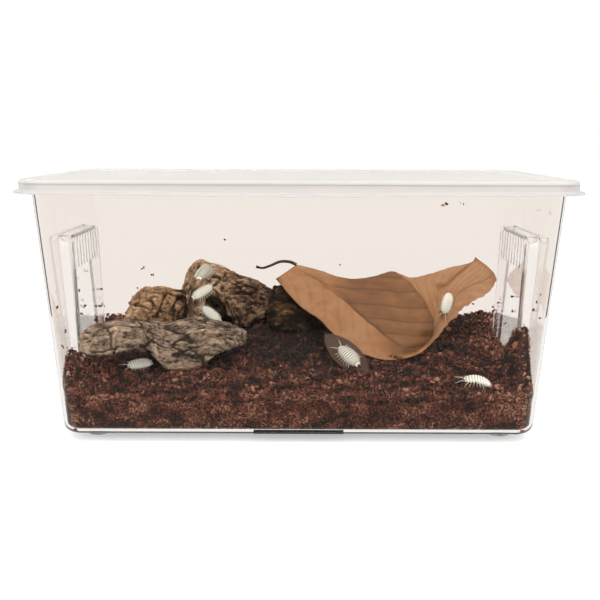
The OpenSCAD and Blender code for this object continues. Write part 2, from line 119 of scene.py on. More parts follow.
def lattice(cell, seed):
    """A fixed random number from 0 to 1 for each cell."""
    key = cell[..., 0] * X_STEP ^ cell[..., 1] * Y_STEP ^ cell[..., 2] * Z_STEP ^ (seed * SEED_STEP)
    return LATTICE[(key ^ (key >> 13)) & (LATTICE_SIZE - 1)]


def value_noise(p, seed):
    """Smooth noise from 0 to 1 at points p, one cell per unit."""
    p = np.asarray(p, float)
    low = np.floor(p).astype(np.int64)
    f = smooth(p - low)
    total = 0
    for corner in range(8):
        step = np.array([corner & 1, corner >> 1 & 1, corner >> 2 & 1])
        weight = np.prod(np.where(step, f, 1 - f), axis=-1)
        total = total + weight * lattice(low + step, seed)
    return total


def fractal(p, octaves, seed, step=2, fade=0.5, creased=False):
    """Noise of several sizes added up, 0 to 1. Each is step times finer and fade times weaker than
    the last; creased gives it sharp ridges."""
    total, size, most = 0, 1.0, 0
    for k in range(octaves):
        noise = value_noise(np.asarray(p) * step**k, seed + k)
        if creased:
            noise = (1 - np.abs(2 * noise - 1)) ** 2
        total = total + size * noise
        most += size
        size *= fade
    return total / most


# Further than the nearest scattered point can be, in cells
FAR_AWAY = 9.0


def cell_gap(p, seed):
    """How much further off the second nearest scattered point is than the nearest: 0 between two cells."""
    p = np.asarray(p, float)
    low = np.floor(p).astype(np.int64)
    near = np.full(p.shape[:-1], FAR_AWAY)
    second = near.copy()
    for step in np.ndindex(3, 3, 3):
        cell = low + np.array(step) - 1
        spot = cell + np.stack([lattice(cell, seed + k) for k in (1, 2, 3)], axis=-1)
        d = np.linalg.norm(p - spot, axis=-1)
        second = np.minimum(second, np.maximum(near, d))
        near = np.minimum(near, d)
    return second - near


def curve(a, b, c, d, t):
    """A smooth way from b, at t = 0, to c, at t = 1. a and d are the points beyond them."""
    return b + t * ((c - a) / 2 + t * ((a - 2.5 * b + 2 * c - d / 2) + t * (1.5 * (b - c) + (d - a) / 2)))


def spline_at(rows, s):
    """A smooth curve through the rows of a table, at row numbers s."""
    rows = np.asarray(rows, float)
    s = np.asarray(s, float)
    last = len(rows) - 1
    k = np.clip(np.floor(s).astype(int), 0, last - 1)
    t = (s - k).reshape(s.shape + (1,) * (rows.ndim - 1))
    return curve(rows[np.maximum(0, k - 1)], rows[k], rows[k + 1], rows[np.minimum(last, k + 2)], t)


# ---------- meshes ----------


def make_mesh(name, points, faces, material, body, sharp=None, marks=None, close=False):
    """A mesh object from points in millimetres. marks are named numbers per point, sharp is the
    angle in degrees from which an edge shows, and close turns every face of a closed body outward."""
    mesh = bpy.data.meshes.new(name)
    points = np.asarray(points, float) * MM
    loops = np.concatenate([np.asarray(f, np.int32).ravel() for f in faces])
    sizes = np.concatenate([np.full(len(f), np.asarray(f).shape[1], np.int32) for f in faces])
    mesh.vertices.add(len(points))
    mesh.vertices.foreach_set("co", points.ravel())
    mesh.loops.add(len(loops))
    mesh.loops.foreach_set("vertex_index", loops)
    mesh.polygons.add(len(sizes))
    mesh.polygons.foreach_set("loop_start", np.concatenate([[0], np.cumsum(sizes)[:-1]]).astype(np.int32))
    mesh.update(calc_edges=True)
    for mark, values in (marks or {}).items():
        layer = mesh.attributes.new(mark, "FLOAT", "POINT")
        layer.data.foreach_set("value", np.asarray(values, np.float32))
    if close:
        edit = bmesh.new()
        edit.from_mesh(mesh)
        bmesh.ops.recalc_face_normals(edit, faces=edit.faces)
        edit.to_mesh(mesh)
        edit.free()
    mesh.shade_smooth()
    if sharp is not None:
        mesh.set_sharp_from_angle(angle=math.radians(sharp))
    mesh.materials.append(material)
    piece = bpy.data.objects.new(name, mesh)
    bpy.context.scene.collection.objects.link(piece)
    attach(piece, body)
    return piece


def ring_faces(rings, around):
    """Quads between rings that follow each other, around points to a ring."""
    k, i = np.meshgrid(np.arange(rings - 1), np.arange(around), indexing="ij")
    a = k * around + i
    b = k * around + (i + 1) % around
    return np.stack([a, b, b + around, a + around], -1).reshape(-1, 4)


def skin(rings):
    """Points and faces of a closed body: quads between the rings and a fan over each end."""
    rings = [np.asarray(ring, float) for ring in rings]
    n = len(rings[0])
    points = np.concatenate(rings + [rings[0].mean(0, keepdims=True), rings[-1].mean(0, keepdims=True)])
    top = (len(rings) - 1) * n
    i = np.arange(n)
    j = (i + 1) % n
    first = np.stack([j, i, np.full(n, len(points) - 2)], -1)
    final = np.stack([top + i, top + j, np.full(n, len(points) - 1)], -1)
    return points, [ring_faces(len(rings), n), first, final]


def joined(parts):
    """One body from several (points, faces) pairs."""
    points, faces, base = [], [], 0
    for p, fs in parts:
        points.append(np.asarray(p))
        faces += [np.asarray(f) + base for f in fs]
        base += len(p)
    return np.concatenate(points), faces


def spokes(side, up, around):
    """Directions round a tube, a row of them for each pair of its side and up directions."""
    a = np.arange(around) * 2 * np.pi / around
    return np.cos(a)[None, :, None] * side[:, None] + np.sin(a)[None, :, None] * up[:, None]


def tube(path, radii, around):
    """A round tube along a path that tapers as radii say."""
    path = np.asarray(path, float)
    ahead = unit(np.gradient(path, axis=0))
    side = unit(np.cross(ahead, np.where(np.abs(ahead[:, 2:]) > 0.9, [1.0, 0, 0], [0, 0, 1.0])))
    rings = path[:, None] + np.asarray(radii)[:, None, None] * spokes(side, np.cross(side, ahead), around)
    return skin(rings)


def lathe(profile, around, at):
    """A turned body from (radius, height) pairs that start and end beside the axis."""
    a = np.arange(around) * 2 * np.pi / around
    rings = [np.stack([at[0] + r * np.cos(a), at[1] + r * np.sin(a), np.full(around, at[2] + z)], -1)
             for r, z in profile]
    return skin(rings)


def sheet_faces(columns, rows):
    """Quads of a grid with columns and rows of squares."""
    j, i = np.meshgrid(np.arange(rows), np.arange(columns), indexing="ij")
    a = j * (columns + 1) + i
    return np.stack([a, a + 1, a + columns + 2, a + columns + 1], -1).reshape(-1, 4)


def sheet_rim(columns, rows):
    """The points round the edge of such a grid, in order."""
    w = columns + 1
    return np.concatenate([np.arange(columns), np.arange(rows) * w + columns,
                           rows * w + np.arange(columns, 0, -1), np.arange(rows, 0, -1) * w])


def thin_sheet(middle, out, thick):
    """A closed sheet from a grid of middle points (rows, columns, 3) with outward directions."""
    rows, columns = middle.shape[0] - 1, middle.shape[1] - 1
    half = np.asarray(thick)[..., None] / 2 * out
    points = np.concatenate([(middle + half).reshape(-1, 3), (middle - half).reshape(-1, 3)])
    face = sheet_faces(columns, rows)
    back = (rows + 1) * (columns + 1)
    rim = sheet_rim(columns, rows)
    following = np.roll(rim, -1)
    edge = np.stack([rim, rim + back, following + back, following], -1)
    return points, [face, face[:, ::-1] + back, edge]


# ---------- materials ----------


def colour(code):
    """A linear colour from an sRGB hex code."""
    parts = [int(code[k:k + 2], 16) / 255 for k in (0, 2, 4)]
    return [c / 12.92 if c <= 0.04045 else ((c + 0.055) / 1.055) ** 2.4 for c in parts] + [1.0]


def add(tree, kind, inputs=None, stops=(), **settings):
    """Adds a node with its settings. inputs are values, or what to link from: a socket, or a node
    for its first output. stops are the (position, hex code) pairs of a colour ramp."""
    made = tree.nodes.new("ShaderNode" + kind)
    for key, value in settings.items():
        setattr(made, key, value)
    for key, value in (inputs or {}).items():
        if isinstance(value, bpy.types.Node):
            value = value.outputs[0]
        if isinstance(value, bpy.types.NodeSocket):
            tree.links.new(value, made.inputs[key])
        else:
            made.inputs[key].default_value = value
    if stops:
        elements = made.color_ramp.elements
        while len(elements) < len(stops):
            elements.new(0.5)
        for element, (position, code) in zip(elements, stops):
            element.position = position
            element.color = colour(code)
    return made


def start_material(name):
    """A new material and its empty tree. The object coordinates that its textures use are in metres
    and the same in every pose."""
    material = bpy.data.materials.new(name)
    material.use_nodes = True
    tree = material.node_tree
    tree.nodes.clear()
    return material, tree


def finished(material, surface):
    """The material with its surface in place."""
    add(material.node_tree, "OutputMaterial", {"Surface": surface})
    return material


def mottled(tree, base, texture, amount):
    """base, made up to amount / 2 more or less by a texture."""
    spread = add(tree, "Math", {0: texture, 1: amount, 2: -amount / 2}, operation="MULTIPLY_ADD")
    return add(tree, "Math", {0: base, 1: spread}, operation="ADD")


def any_ray(tree, *kinds):
    """1 for a ray of any of these kinds, and 0 for others."""
    path = add(tree, "LightPath")
    found = path.outputs[kinds[0]]
    for kind in kinds[1:]:
        found = add(tree, "Math", {0: found, 1: path.outputs[kind]}, operation="MAXIMUM").outputs[0]
    return found


def see_through(tree, surface, tint):
    """Lets lamps and bounced light straight through a clear or milky plastic."""
    clear = add(tree, "BsdfTransparent", {"Color": colour(tint)})
    return add(tree, "MixShader", {0: any_ray(tree, "Is Shadow Ray", "Is Diffuse Ray"), 1: surface, 2: clear})


def clear_polystyrene(name, tint, gloss, clear=1.0):
    """General purpose polystyrene, injection moulded: water clear, with a faint warm cast, glossy, and bright lines
    where its walls are seen edge on. gloss is how much of its reflection shows; clear is below 1 where white is mixed
    in, painted light for the bright light that the ribs refract."""
    material, tree = start_material(name)
    where = add(tree, "TexCoord").outputs["Object"]
    # Flow marks from moulding, about 25 mm apart, only just bend what is behind them
    flow = add(tree, "TexNoise", {"Vector": where, "Scale": 40.0, "Detail": 1.0})
    wave = add(tree, "Bump", {"Strength": 0.03, "Distance": 0.002, "Height": flow})
    plastic = add(tree, "BsdfPrincipled", {
        "Base Color": [*tint, 1.0], "Roughness": 0.01, "IOR": 1.59, "Transmission Weight": clear,
        "Specular Tint": [gloss, gloss, gloss, 1.0], "Normal": wave})
    return finished(material, see_through(tree, plastic, "fbfaf8"))


def milky_polypropylene(milk):
    """Natural polypropylene, injection moulded thin: milky and creamy. Its skirt is painted greyer than its top, as
    painted shade on the upright face, and greyer still over the rim, a painted shade line for the rim seen through it.
    Its mark is 0 on the top, 0.5 on the skirt and 1 over the rim."""
    material, tree = start_material("milky_polypropylene_moulded")
    where = add(tree, "TexCoord").outputs["Object"]
    under = add(tree, "Attribute", attribute_name="under").outputs["Fac"]
    # Painted shade: greyer down the skirt than on the top, and greyer still over the rim
    tint = add(tree, "ValToRGB", {"Fac": under},
               [(0.0, "fffcf2"), (0.25, "fdf6f0"), (0.5, "edeae9"), (1.0, "cfcccb")])
    # The mould's fine satin grain, about 1 mm across
    grain = add(tree, "TexNoise", {"Vector": where, "Scale": 900.0, "Detail": 2.0})
    bump = add(tree, "Bump", {"Strength": 0.06, "Distance": 0.0002, "Height": grain})
    body = add(tree, "BsdfPrincipled", {
        "Base Color": tint, "Roughness": 0.18, "IOR": 1.49, "Transmission Weight": 0.6,
        "Specular Tint": [0.35, 0.35, 0.35, 1.0], "Normal": bump})
    glow = add(tree, "BsdfTranslucent", {"Color": tint})
    return finished(material, see_through(tree, add(tree, "MixShader", {0: milk, 1: body, 2: glow}), "f6f4f1"))


def clear_polyurethane():
    """Clear cast polyurethane of a stick-on bumper: glassy, a little grey where it is thick."""
    material, tree = start_material("clear_polyurethane_cast")
    where = add(tree, "TexCoord").outputs["Object"]
    # Finger marks and dust, about 2 mm across
    haze = add(tree, "TexNoise", {"Vector": where, "Scale": 500.0})
    rough = add(tree, "MapRange", {"Value": haze, 3: 0.04, 4: 0.16})
    gel = add(tree, "BsdfPrincipled", {
        "Base Color": colour("c9c2bd"), "Roughness": rough, "IOR": 1.5, "Transmission Weight": 1.0})
    return finished(material, see_through(tree, gel, "d8d4d0"))


def base_shade_film():
    """A dark film that stands in for the shade beneath the base, seen through its clear edge: painted shade as a sheet,
    flat black, with dust about 3 mm across.
    """
    material, tree = start_material("base_shade_film_matt")
    where = add(tree, "TexCoord").outputs["Object"]
    dust = add(tree, "TexNoise", {"Vector": where, "Scale": 300.0, "Detail": 3.0})
    tint = add(tree, "ValToRGB", {"Fac": dust}, [(0.3, "0b0a0b"), (0.8, "171314")])
    return finished(material, add(tree, "BsdfPrincipled", {
        "Base Color": tint, "Roughness": 0.6, "Specular IOR Level": 0.2}))


def coir(name, stops, roughness):
    """Coir, the husk fibre of coconut, damp and loose: dull reds and browns with dark gaps.
    The mark "shade" gives each chip and strand its own colour, darker in the painted shade round the leaf and the bark."""
    material, tree = start_material(name)
    where = add(tree, "TexCoord").outputs["Object"]
    # Dust on the chips, about 1 mm across
    dust = add(tree, "TexNoise", {"Vector": where, "Scale": 1000.0, "Detail": 2.0})
    shade = add(tree, "Attribute", attribute_name="shade").outputs["Fac"]
    tint = add(tree, "ValToRGB", {"Fac": mottled(tree, shade, dust, 0.3)}, stops)
    return finished(material, add(tree, "BsdfPrincipled", {
        "Base Color": tint, "Roughness": roughness, "Specular IOR Level": 0.25}))


def cork(name, stops):
    """Cork oak bark, dried: a dry grey weathered face, brown where it is broken, near black in
    its cracks. The mark "depth" is 0 in a crack and 1 on a ridge."""
    material, tree = start_material(name)
    where = add(tree, "TexCoord").outputs["Object"]
    # The cork's grains are 1.4 mm across, and its stained patches about 14 mm
    grain = add(tree, "TexNoise", {"Vector": where, "Scale": 1 / (1.4 * MM), "Detail": 4.0, "Roughness": 0.65})
    patch = add(tree, "TexNoise", {"Vector": where, "Scale": 70.0, "Detail": 3.0})
    bump = add(tree, "Bump", {"Strength": 0.9, "Distance": 0.0009, "Height": grain})
    depth = add(tree, "Attribute", attribute_name="depth").outputs["Fac"]
    level = mottled(tree, mottled(tree, depth, grain, 0.62), patch, 0.5)
    tint = add(tree, "ValToRGB", {"Fac": level}, stops)
    return finished(material, add(tree, "BsdfPrincipled", {
        "Base Color": tint, "Roughness": 0.9, "Specular IOR Level": 0.15, "Normal": bump}))


def dry_leaf(name, stops, vein):
    """A large dry leaf: papery tan with a satin cuticle, darker veins and fine mottling. The marks are "tone", 0 dark
    to 1 light, which on the large leaf also holds painted shade and light from its folds, and "vein", 1 on a vein."""
    material, tree = start_material(name)
    where = add(tree, "TexCoord").outputs["Object"]
    # Mottling about 6 mm across
    mottle = add(tree, "TexNoise", {"Vector": where, "Scale": 160.0, "Detail": 5.0, "Roughness": 0.6})
    tone = add(tree, "Attribute", attribute_name="tone").outputs["Fac"]
    tint = add(tree, "ValToRGB", {"Fac": mottled(tree, tone, mottle, 0.32)}, stops)
    # Cells of the leaf's fine net, about 1 mm across
    net = add(tree, "TexVoronoi", {"Vector": where, "Scale": 900.0}, feature="DISTANCE_TO_EDGE")
    bump = add(tree, "Bump", {"Strength": 0.25, "Distance": 0.0003, "Height": net})
    on_vein = add(tree, "Attribute", attribute_name="vein").outputs["Fac"]
    flesh = add(tree, "Mix", {"Factor": on_vein, 6: tint, 7: colour(vein)}, data_type="RGBA")
    return finished(material, add(tree, "BsdfPrincipled", {
        "Base Color": flesh.outputs[2], "Roughness": 0.48, "Specular IOR Level": 0.35, "Normal": bump}))


def isopod_shell():
    """An isopod's chalky plates: near white with a soft porcelain sheen, and painted darker in the gap in front of each
    and on the lower side, as painted shade. The mark "edge" is 1 in a gap."""
    material, tree = start_material("isopod_shell")
    where = add(tree, "TexCoord").outputs["Object"]
    # Chalky bloom, about 1.5 mm across
    chalk = add(tree, "TexNoise", {"Vector": where, "Scale": 700.0, "Detail": 3.0})
    edge = add(tree, "Attribute", attribute_name="edge").outputs["Fac"]
    level = add(tree, "Math", {0: chalk, 1: 0.15, 2: edge}, operation="MULTIPLY_ADD")
    tint = add(tree, "ValToRGB", {"Fac": level}, [(0.0, "fcfefb"), (0.4, "f2f1e4"), (0.7, "aca480"), (1.0, "4c462f")])
    return finished(material, add(tree, "BsdfPrincipled", {
        "Base Color": tint, "Roughness": 0.4, "IOR": 1.45, "Subsurface Weight": 0.25,
        "Subsurface Radius": [0.9, 0.8, 0.7], "Subsurface Scale": 0.0003}))


def isopod_eye():
    """The dark specks of an isopod: small, black and shiny, with facets about 0.5 mm across."""
    material, tree = start_material("isopod_dark_specks")
    where = add(tree, "TexCoord").outputs["Object"]
    spot = add(tree, "TexNoise", {"Vector": where, "Scale": 2000.0})
    tint = add(tree, "ValToRGB", {"Fac": spot}, [(0.3, "12100f"), (0.8, "2a2420")])
    return finished(material, add(tree, "BsdfPrincipled", {"Base Color": tint, "Roughness": 0.25}))


CORK_GREY = [(0.0, "2f261f"), (0.25, "68594c"), (0.5, "8e7b6b"), (0.75, "b49d87"), (1.0, "dfc5aa")]
CORK_BROWN = [(0.0, "281c14"), (0.25, "654f3e"), (0.5, "977b62"), (0.75, "bc9e81"), (1.0, "e6ccac")]
CORK_OLD = [(0.0, "1e140d"), (0.25, "59432f"), (0.5, "8a6d52"), (0.75, "b08f6d"), (1.0, "dcc09a")]
# Near black for the rear bark, which lies in shadow beneath the leaf: painted shade
CORK_PAINTED_SHADE = [(0.0, "090604"), (0.3, "181009"), (0.55, "2b1e14"), (0.8, "4d3925"), (1.0, "7c6343")]
# The darkest stops serve dark pith and the painted shade round the leaf and the bark
COIR_CHIPS = [(0.0, "19191b"), (0.18, "342722"), (0.4, "5b382e"), (0.6, "74443a"), (0.8, "835043"),
              (0.93, "945f50"), (1.0, "b28872")]
COIR_STRANDS = [(0.0, "4d3128"), (0.4, "84523f"), (0.7, "b07c5b"), (1.0, "d8b28b")]


# ---------- tub ----------

# Points and rings this far beside a curve keep the flat faces truly flat, so that they don't bend
# the view
BESIDE = 0.6
GRIP_LIP = 1.0
RIB_STEPS = 8
LEDGE_TURNS = (0, 15, 30, 45, 60, 72, 84)
# Material slots of the tub
GRIPS, RIBS = 1, 2


def rounded(before, corner, after, r):
    """Five points round a corner of an outline."""
    a, b, c = (np.array(p, float) for p in (before, corner, after))
    start, end = b + unit(a - b) * r, b + unit(c - b) * r
    return [tuple((1 - t) ** 2 * start + 2 * t * (1 - t) * b + t * t * end) for t in (0, 0.25, 0.5, 0.75, 1)]


def quarter(x, y, r, start, steps):
    """Points of a quarter circle round (x, y), from an angle in degrees."""
    turns = [math.radians(start + 90 * k / steps) for k in range(steps + 1)]
    return [(x + r * math.cos(a), y + r * math.sin(a)) for a in turns]


def end_outline(hx, hy, r, gx, gy, ribs):
    """Half of the tub's outline, round the +X end from the front long side to the rear one."""
    turn = min(2.0, math.hypot(hx - gx, GRIP_LIP) / 2.5)
    edge, foot = (hx, -gy - GRIP_LIP), (gx, -gy)
    into = [(hx, -gy - GRIP_LIP - 1.2)] + rounded((hx, -gy - GRIP_LIP - 5), edge, foot, turn)
    into += rounded(edge, foot, (gx, 0.0), turn)
    last = RIB_COUNT * RIB_STEPS
    band = [(gx + ribs * (1 - math.cos(2 * math.pi * k / RIB_STEPS)) / 2, mix(-gy, gy, k / last))
            for k in range(1, last)]
    return [(hx - r - BESIDE, -hy), *quarter(hx - r, r - hy, r, -90, 14), (hx, r - hy + BESIDE), *into, *band,
            *[(x, -y) for x, y in into[::-1]], (hx, hy - r - BESIDE), *quarter(hx - r, hy - r, r, 0, 14),
            (hx - r - BESIDE, hy)]


class TubShape:
    """The tub's wall faces at each height."""

    def __init__(self, sizes):
        self.len = sizes.mouth_len / MM
        self.wid = sizes.mouth_wid / MM
        self.draft = sizes.draft / MM

    def lean(self, z):
        """How much further in the walls are at a height than at the rim."""
        return self.draft * (RIM_Z - z) / TUB_H

    def half_len(self, z):
        return self.len / 2 - self.lean(z)

    def half_wid(self, z):
        return self.wid / 2 - self.lean(z)

    def grip_x(self, z):
        """Where the face of the handle recess is."""
        return mix(self.half_len(BASE_Z) - GRIP_SHALLOW, self.half_len(LEDGE_Z) - GRIP_DEEP, (z - BASE_Z) / GRIP_TOP)

    def grip_y(self, z):
        """Half the width of the recess, which is rounded at its top corners."""
        up = np.maximum(0, z - (LEDGE_Z - GRIP_CORNER))
        return GRIP_HALF - GRIP_CORNER + np.sqrt(np.maximum(0, GRIP_CORNER**2 - up * up))

    def ring(self, z, inset=0.0, grip=True, ribs=0.0, out=0.0, tuck=0.0, depth=1.0):
        """One ring of the tub; depth below 1 makes the recess shallower than it is."""
        hx = self.half_len(z) - inset + out - tuck
        hy = self.half_wid(z) - inset + out - tuck
        r = max(1.0, CORNER_R - inset + out - tuck)
        gy = (self.grip_y(z - inset) if grip else GRIP_HALF) + inset
        gx = mix(hx, self.grip_x(z) - inset - tuck, depth) if grip else hx
        half = np.array(end_outline(hx, hy, r, gx, gy, ribs))
        flat = np.concatenate([half, -half])
        return np.column_stack([flat, np.full(len(flat), z)])

    def base_ring(self, z, r, a, inset=0.0):
        """One ring of the rounded edge of the base or the floor."""
        return self.ring(z + r * (1 - math.cos(a)), inset, tuck=r * (1 - math.sin(a)))

    def ledge_ring(self, degrees, inset=0.0, ribs=0.0):
        """One ring of the rounded top corners of the recess."""
        return self.ring(LEDGE_Z + inset - GRIP_CORNER * (1 - math.sin(math.radians(degrees))), inset, ribs=ribs)


def tub_rings(tub):
    """The tub's rings: up the outside, over the rim and down the inside."""
    under_rim = RIM_Z - RIM_T
    rings = [tub.ring(BASE_Z, tuck=BASE_R + 4)]
    rings += [tub.base_ring(BASE_Z, BASE_R, math.pi / 2 * k / 8) for k in range(9)]
    rings += [tub.ring(z) for z in (BASE_Z + BASE_R + BESIDE, BAND_Z - BESIDE, BAND_Z)]
    rings += [tub.ring(BAND_Z + 0.3, ribs=RIB_H * 0.75), tub.ring(BAND_Z + 0.5, ribs=RIB_H),
              tub.ring(LEDGE_Z - GRIP_CORNER - 1, ribs=RIB_H)]
    rings += [tub.ledge_ring(degrees, ribs=RIB_H) for degrees in LEDGE_TURNS]
    rings += [tub.ring(LEDGE_Z + 0.1, depth=0.02)]
    rings += [tub.ring(z, grip=False) for z in (LEDGE_Z + 0.5, LEDGE_Z + 1, under_rim - 1.6, under_rim - 1.2)]
    rings += [tub.ring(z, grip=False, out=out + tub.lean(z)) for z, out in (
        (under_rim - 0.3, 0.2), (under_rim, 0.7), (under_rim, RIM_OUT - 0.5), (under_rim + 0.4, RIM_OUT),
        (RIM_Z - 0.4, RIM_OUT), (RIM_Z, RIM_OUT - 0.5), (RIM_Z, 0.2))]
    rings += [tub.ring(RIM_Z, WALL - 0.5, grip=False)]
    rings += [tub.ring(z, WALL, grip=False) for z in (RIM_Z - 0.5, RIM_Z - 1, LEDGE_Z + WALL + 1, LEDGE_Z + WALL + 0.5)]
    rings += [tub.ring(LEDGE_Z + WALL + 0.1, WALL, depth=0.02)]
    rings += [tub.ledge_ring(degrees, WALL) for degrees in LEDGE_TURNS[::-1]]
    rings += [tub.ring(FLOOR_Z + BASE_R - WALL + BESIDE, WALL)]
    rings += [tub.base_ring(FLOOR_Z, BASE_R - WALL, math.pi / 2 * (1 - k / 6), WALL) for k in range(7)]
    rings += [tub.ring(FLOOR_Z, WALL, tuck=BASE_R)]
    return rings


def build_tub(sizes):
    tub = TubShape(sizes)
    points, faces = skin(tub_rings(tub))
    # The broad walls show little gloss, so that the contents stay clear; the grips show it all
    piece = make_mesh("tub_clear", points, faces, clear_polystyrene("clear_polystyrene_walls", sizes.tint, 0.05),
                      "keeper", sharp=32, close=True)
    # The grips are tinted lighter than the walls: painted light for the bright side light that the grips refract
    piece.data.materials.append(clear_polystyrene("polystyrene_grips_painted_lighter", sizes.grip_tint_painted_lighter, 1.0))
    # The rib band is painted white: a share of white stands in for the light that the ribs refract
    piece.data.materials.append(clear_polystyrene("polystyrene_ribs_painted_white", (1, 1, 1), 1.0, 0.88))
    for face in piece.data.polygons:
        x, y, z = face.center / MM
        at_grip = abs(x) > tub.grip_x(BASE_Z) - 4 and abs(y) < GRIP_HALF + WALL + 1.5
        if at_grip and BASE_Z + BASE_R < z < LEDGE_Z + WALL + 0.6:
            outside = abs(x) > tub.grip_x(z) - WALL / 2 and abs(face.normal.x) > 0.5
            ribbed = outside and BAND_Z < z < LEDGE_Z - 1 and abs(y) < tub.grip_y(z) - 1.5
            face.material_index = RIBS if ribbed else GRIPS
    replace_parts(piece, "tub")


# ---------- lid ----------

LID_GAP = 0.3
LID_T = 1.6
SKIRT_GAP = 0.9
SKIRT_DROP = 6.8
FLANGE_OUT = 3.4
FLANGE_T = 1.8
BORDER = 12.0
PANEL_DROP = 1.2
SAG = 1.2
TAB_OUT = 3.0
TAB_HALF = 11.0
LID_UNDER = RIM_Z + LID_GAP
LID_TOP = LID_UNDER + LID_T
LID_FOOT = RIM_Z - SKIRT_DROP
LID_EDGE_R = 2.0


def lid_ring(sizes, out, z, dip=0.0, tab=0.0):
    """One ring of the lid, out from the skirt's inner face. It hangs dip lower at the middle of
    the long sides, and its finger tabs stand tab further out."""
    sx = sizes.mouth_len / MM / 2 + RIM_OUT + SKIRT_GAP
    sy = sizes.mouth_wid / MM / 2 + RIM_OUT + SKIRT_GAP
    hx, hy, r = sx + out, sy + out, max(1.0, CORNER_R + RIM_OUT + SKIRT_GAP + out)
    # Every 13.5 mm along the side, and every 1.5 mm round the tab
    xs = sorted([k * 13.5 for k in range(-10, 11) if abs(k) > 1] + [k * 1.5 for k in range(-9, 10)])
    half = [(x, -hy - tab * float(smooth((TAB_HALF - abs(x)) / 3))) for x in xs]
    half = np.array(half + quarter(hx - r, r - hy, r, -90, 16) + quarter(hx - r, hy - r, r, 0, 16))
    flat = np.concatenate([half, -half])
    drop = dip * np.cos(np.pi / 2 * np.minimum(1, np.abs(flat[:, 0]) / sx)) ** 2
    return np.column_stack([flat, z - drop])


def build_lid(sizes, look):
    # Out and up, from the sunk panel over the step to the raised border
    border = [(-BORDER - 4, -PANEL_DROP), (-BORDER - 2, -PANEL_DROP), (-BORDER - 1.5, 0.1 - PANEL_DROP),
              (-BORDER, -0.1), (-BORDER + 0.5, 0), (-2, 0)]
    flange, crown = LID_T + FLANGE_OUT, LID_FOOT + FLANGE_T
    rows = [(out, LID_UNDER + up) for out, up in border]
    rows += [(-0.5, LID_UNDER - 0.2), (0, LID_UNDER - 1), (0, LID_FOOT + 0.4, SAG), (0.3, LID_FOOT, SAG),
             (flange - 0.6, LID_FOOT, SAG, TAB_OUT), (flange, LID_FOOT + 0.6, SAG, TAB_OUT),
             (flange, crown - 0.6, SAG, TAB_OUT), (flange - 0.6, crown, SAG, TAB_OUT),
             (LID_T + 0.7, crown, SAG), (LID_T, crown + 0.7, SAG)]
    # The mark of painted shade: 0.5 on the skirt and the lid's inside, up to 1 over the rim, 0 on the top
    under = [0.5] * len(rows) + [0.6, 1.0, 0.95, *np.linspace(0.5, 0.2, 9)]
    rows += [(LID_T, z) for z in (RIM_Z - 1.6, RIM_Z - 0.9, RIM_Z - 0.5)]
    rows += quarter(LID_T - LID_EDGE_R, LID_TOP - LID_EDGE_R, LID_EDGE_R, 0, 8)
    rows += [(out, LID_TOP + up) for out, up in border[::-1]]
    rings = [lid_ring(sizes, *row) for row in rows]
    points, faces = skin(rings)
    under += [0.0] * (len(rows) - len(under))
    marks = np.append(np.repeat(under, len(rings[0])), [0.0, 0.0])
    piece = make_mesh("lid_milky", points, faces, milky_polypropylene(look.milk), "lid",
                      sharp=40, marks={"under": marks}, close=True)
    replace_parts(piece, "lid")


# ---------- feet, and the dark film of painted shade beneath the base ---

FOOT_FLAT_R = 4.0
# The dark film beneath the base, painted shade as a sheet: how far round the front radius it wraps, and how far into
# the base it is pressed
SHADE_FILM_WRAP = 38
SHADE_FILM_PRESSED = 0.05


def build_feet():
    gel = clear_polyurethane()
    for name in ("foot_front_left", "foot_front_right", "foot_rear_left", "foot_rear_right"):
        low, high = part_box(name)
        at = ((low[0] + high[0]) / 2 / MM, (low[1] + high[1]) / 2 / MM, 0.0)
        r = (high[0] - low[0]) / 2 / MM
        turns = [math.radians(a) for a in range(10, 91, 8)]
        profile = [(0.3, 0.0), (3.2, 0.0), (FOOT_FLAT_R, 0.05)]
        profile += [(FOOT_FLAT_R + (r - FOOT_FLAT_R) * math.sin(a), (FOOT_H - 0.6) * (1 - math.cos(a))) for a in turns]
        profile += [(r, FOOT_H - 0.15), (r - 0.3, FOOT_H - 0.05), (0.3, FOOT_H - 0.05)]
        points, faces = lathe(profile, 64, at)
        piece = make_mesh(name + "_bumper", points, faces, gel, "keeper", sharp=50, close=True)
        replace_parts(piece, name)


def build_base_shade_film():
    """The film is pressed 0.05 mm into the base, so that no air is left between the two, and its front edge follows the
    base's front radius for 38 degrees. It is painted shade as a sheet, for the shade beneath the base."""
    low, high = [np.array(corner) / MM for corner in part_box("base_label")]
    turns = np.radians(np.linspace(SHADE_FILM_WRAP, 0, 12))
    rows = [(low[1] - BASE_R * math.sin(a), BASE_Z + BASE_R * (1 - math.cos(a)), a) for a in turns]
    rows += [(y, BASE_Z, 0.0) for y in np.linspace(low[1] + 3, high[1], 9)]
    columns = 24
    middle = np.array([[(mix(low[0], high[0], k / columns), y, z) for k in range(columns + 1)] for y, z, a in rows])
    out = np.array([[(0, math.sin(a), math.cos(a))] * (columns + 1) for y, z, a in rows])
    points, faces = thin_sheet(middle - SHADE_FILM_PRESSED * out, out, np.full(middle.shape[:2], 0.2))
    piece = make_mesh("base_shade_film", points, faces, base_shade_film(), "keeper", sharp=40, close=True)
    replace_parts(piece, "base_label")


# ---------- coir bed ----------

# Hills of the bed: place (x, y), height and half widths
BANKS = [(0, 16, 11, 46, 24), (-150, -62, 20, 9, 22), (152, -46, 34, 13, 22), (150, 62, 8, 30, 24),
         (-96, 60, 6, 50, 30), (-60, -62, 4, 46, 16), (38, -26, 3, 26, 16)]
BED_FRONT = 22.0
BED_HALF_LEN = 147.0
BED_HALF_WID = 84.0
FRONT_SLOPE = 0.19
REAR_SLOPE = 0.06
# Half the bed's length and width, for the direction in which its sides are roughened
BED_SPREAD = (155, 90)
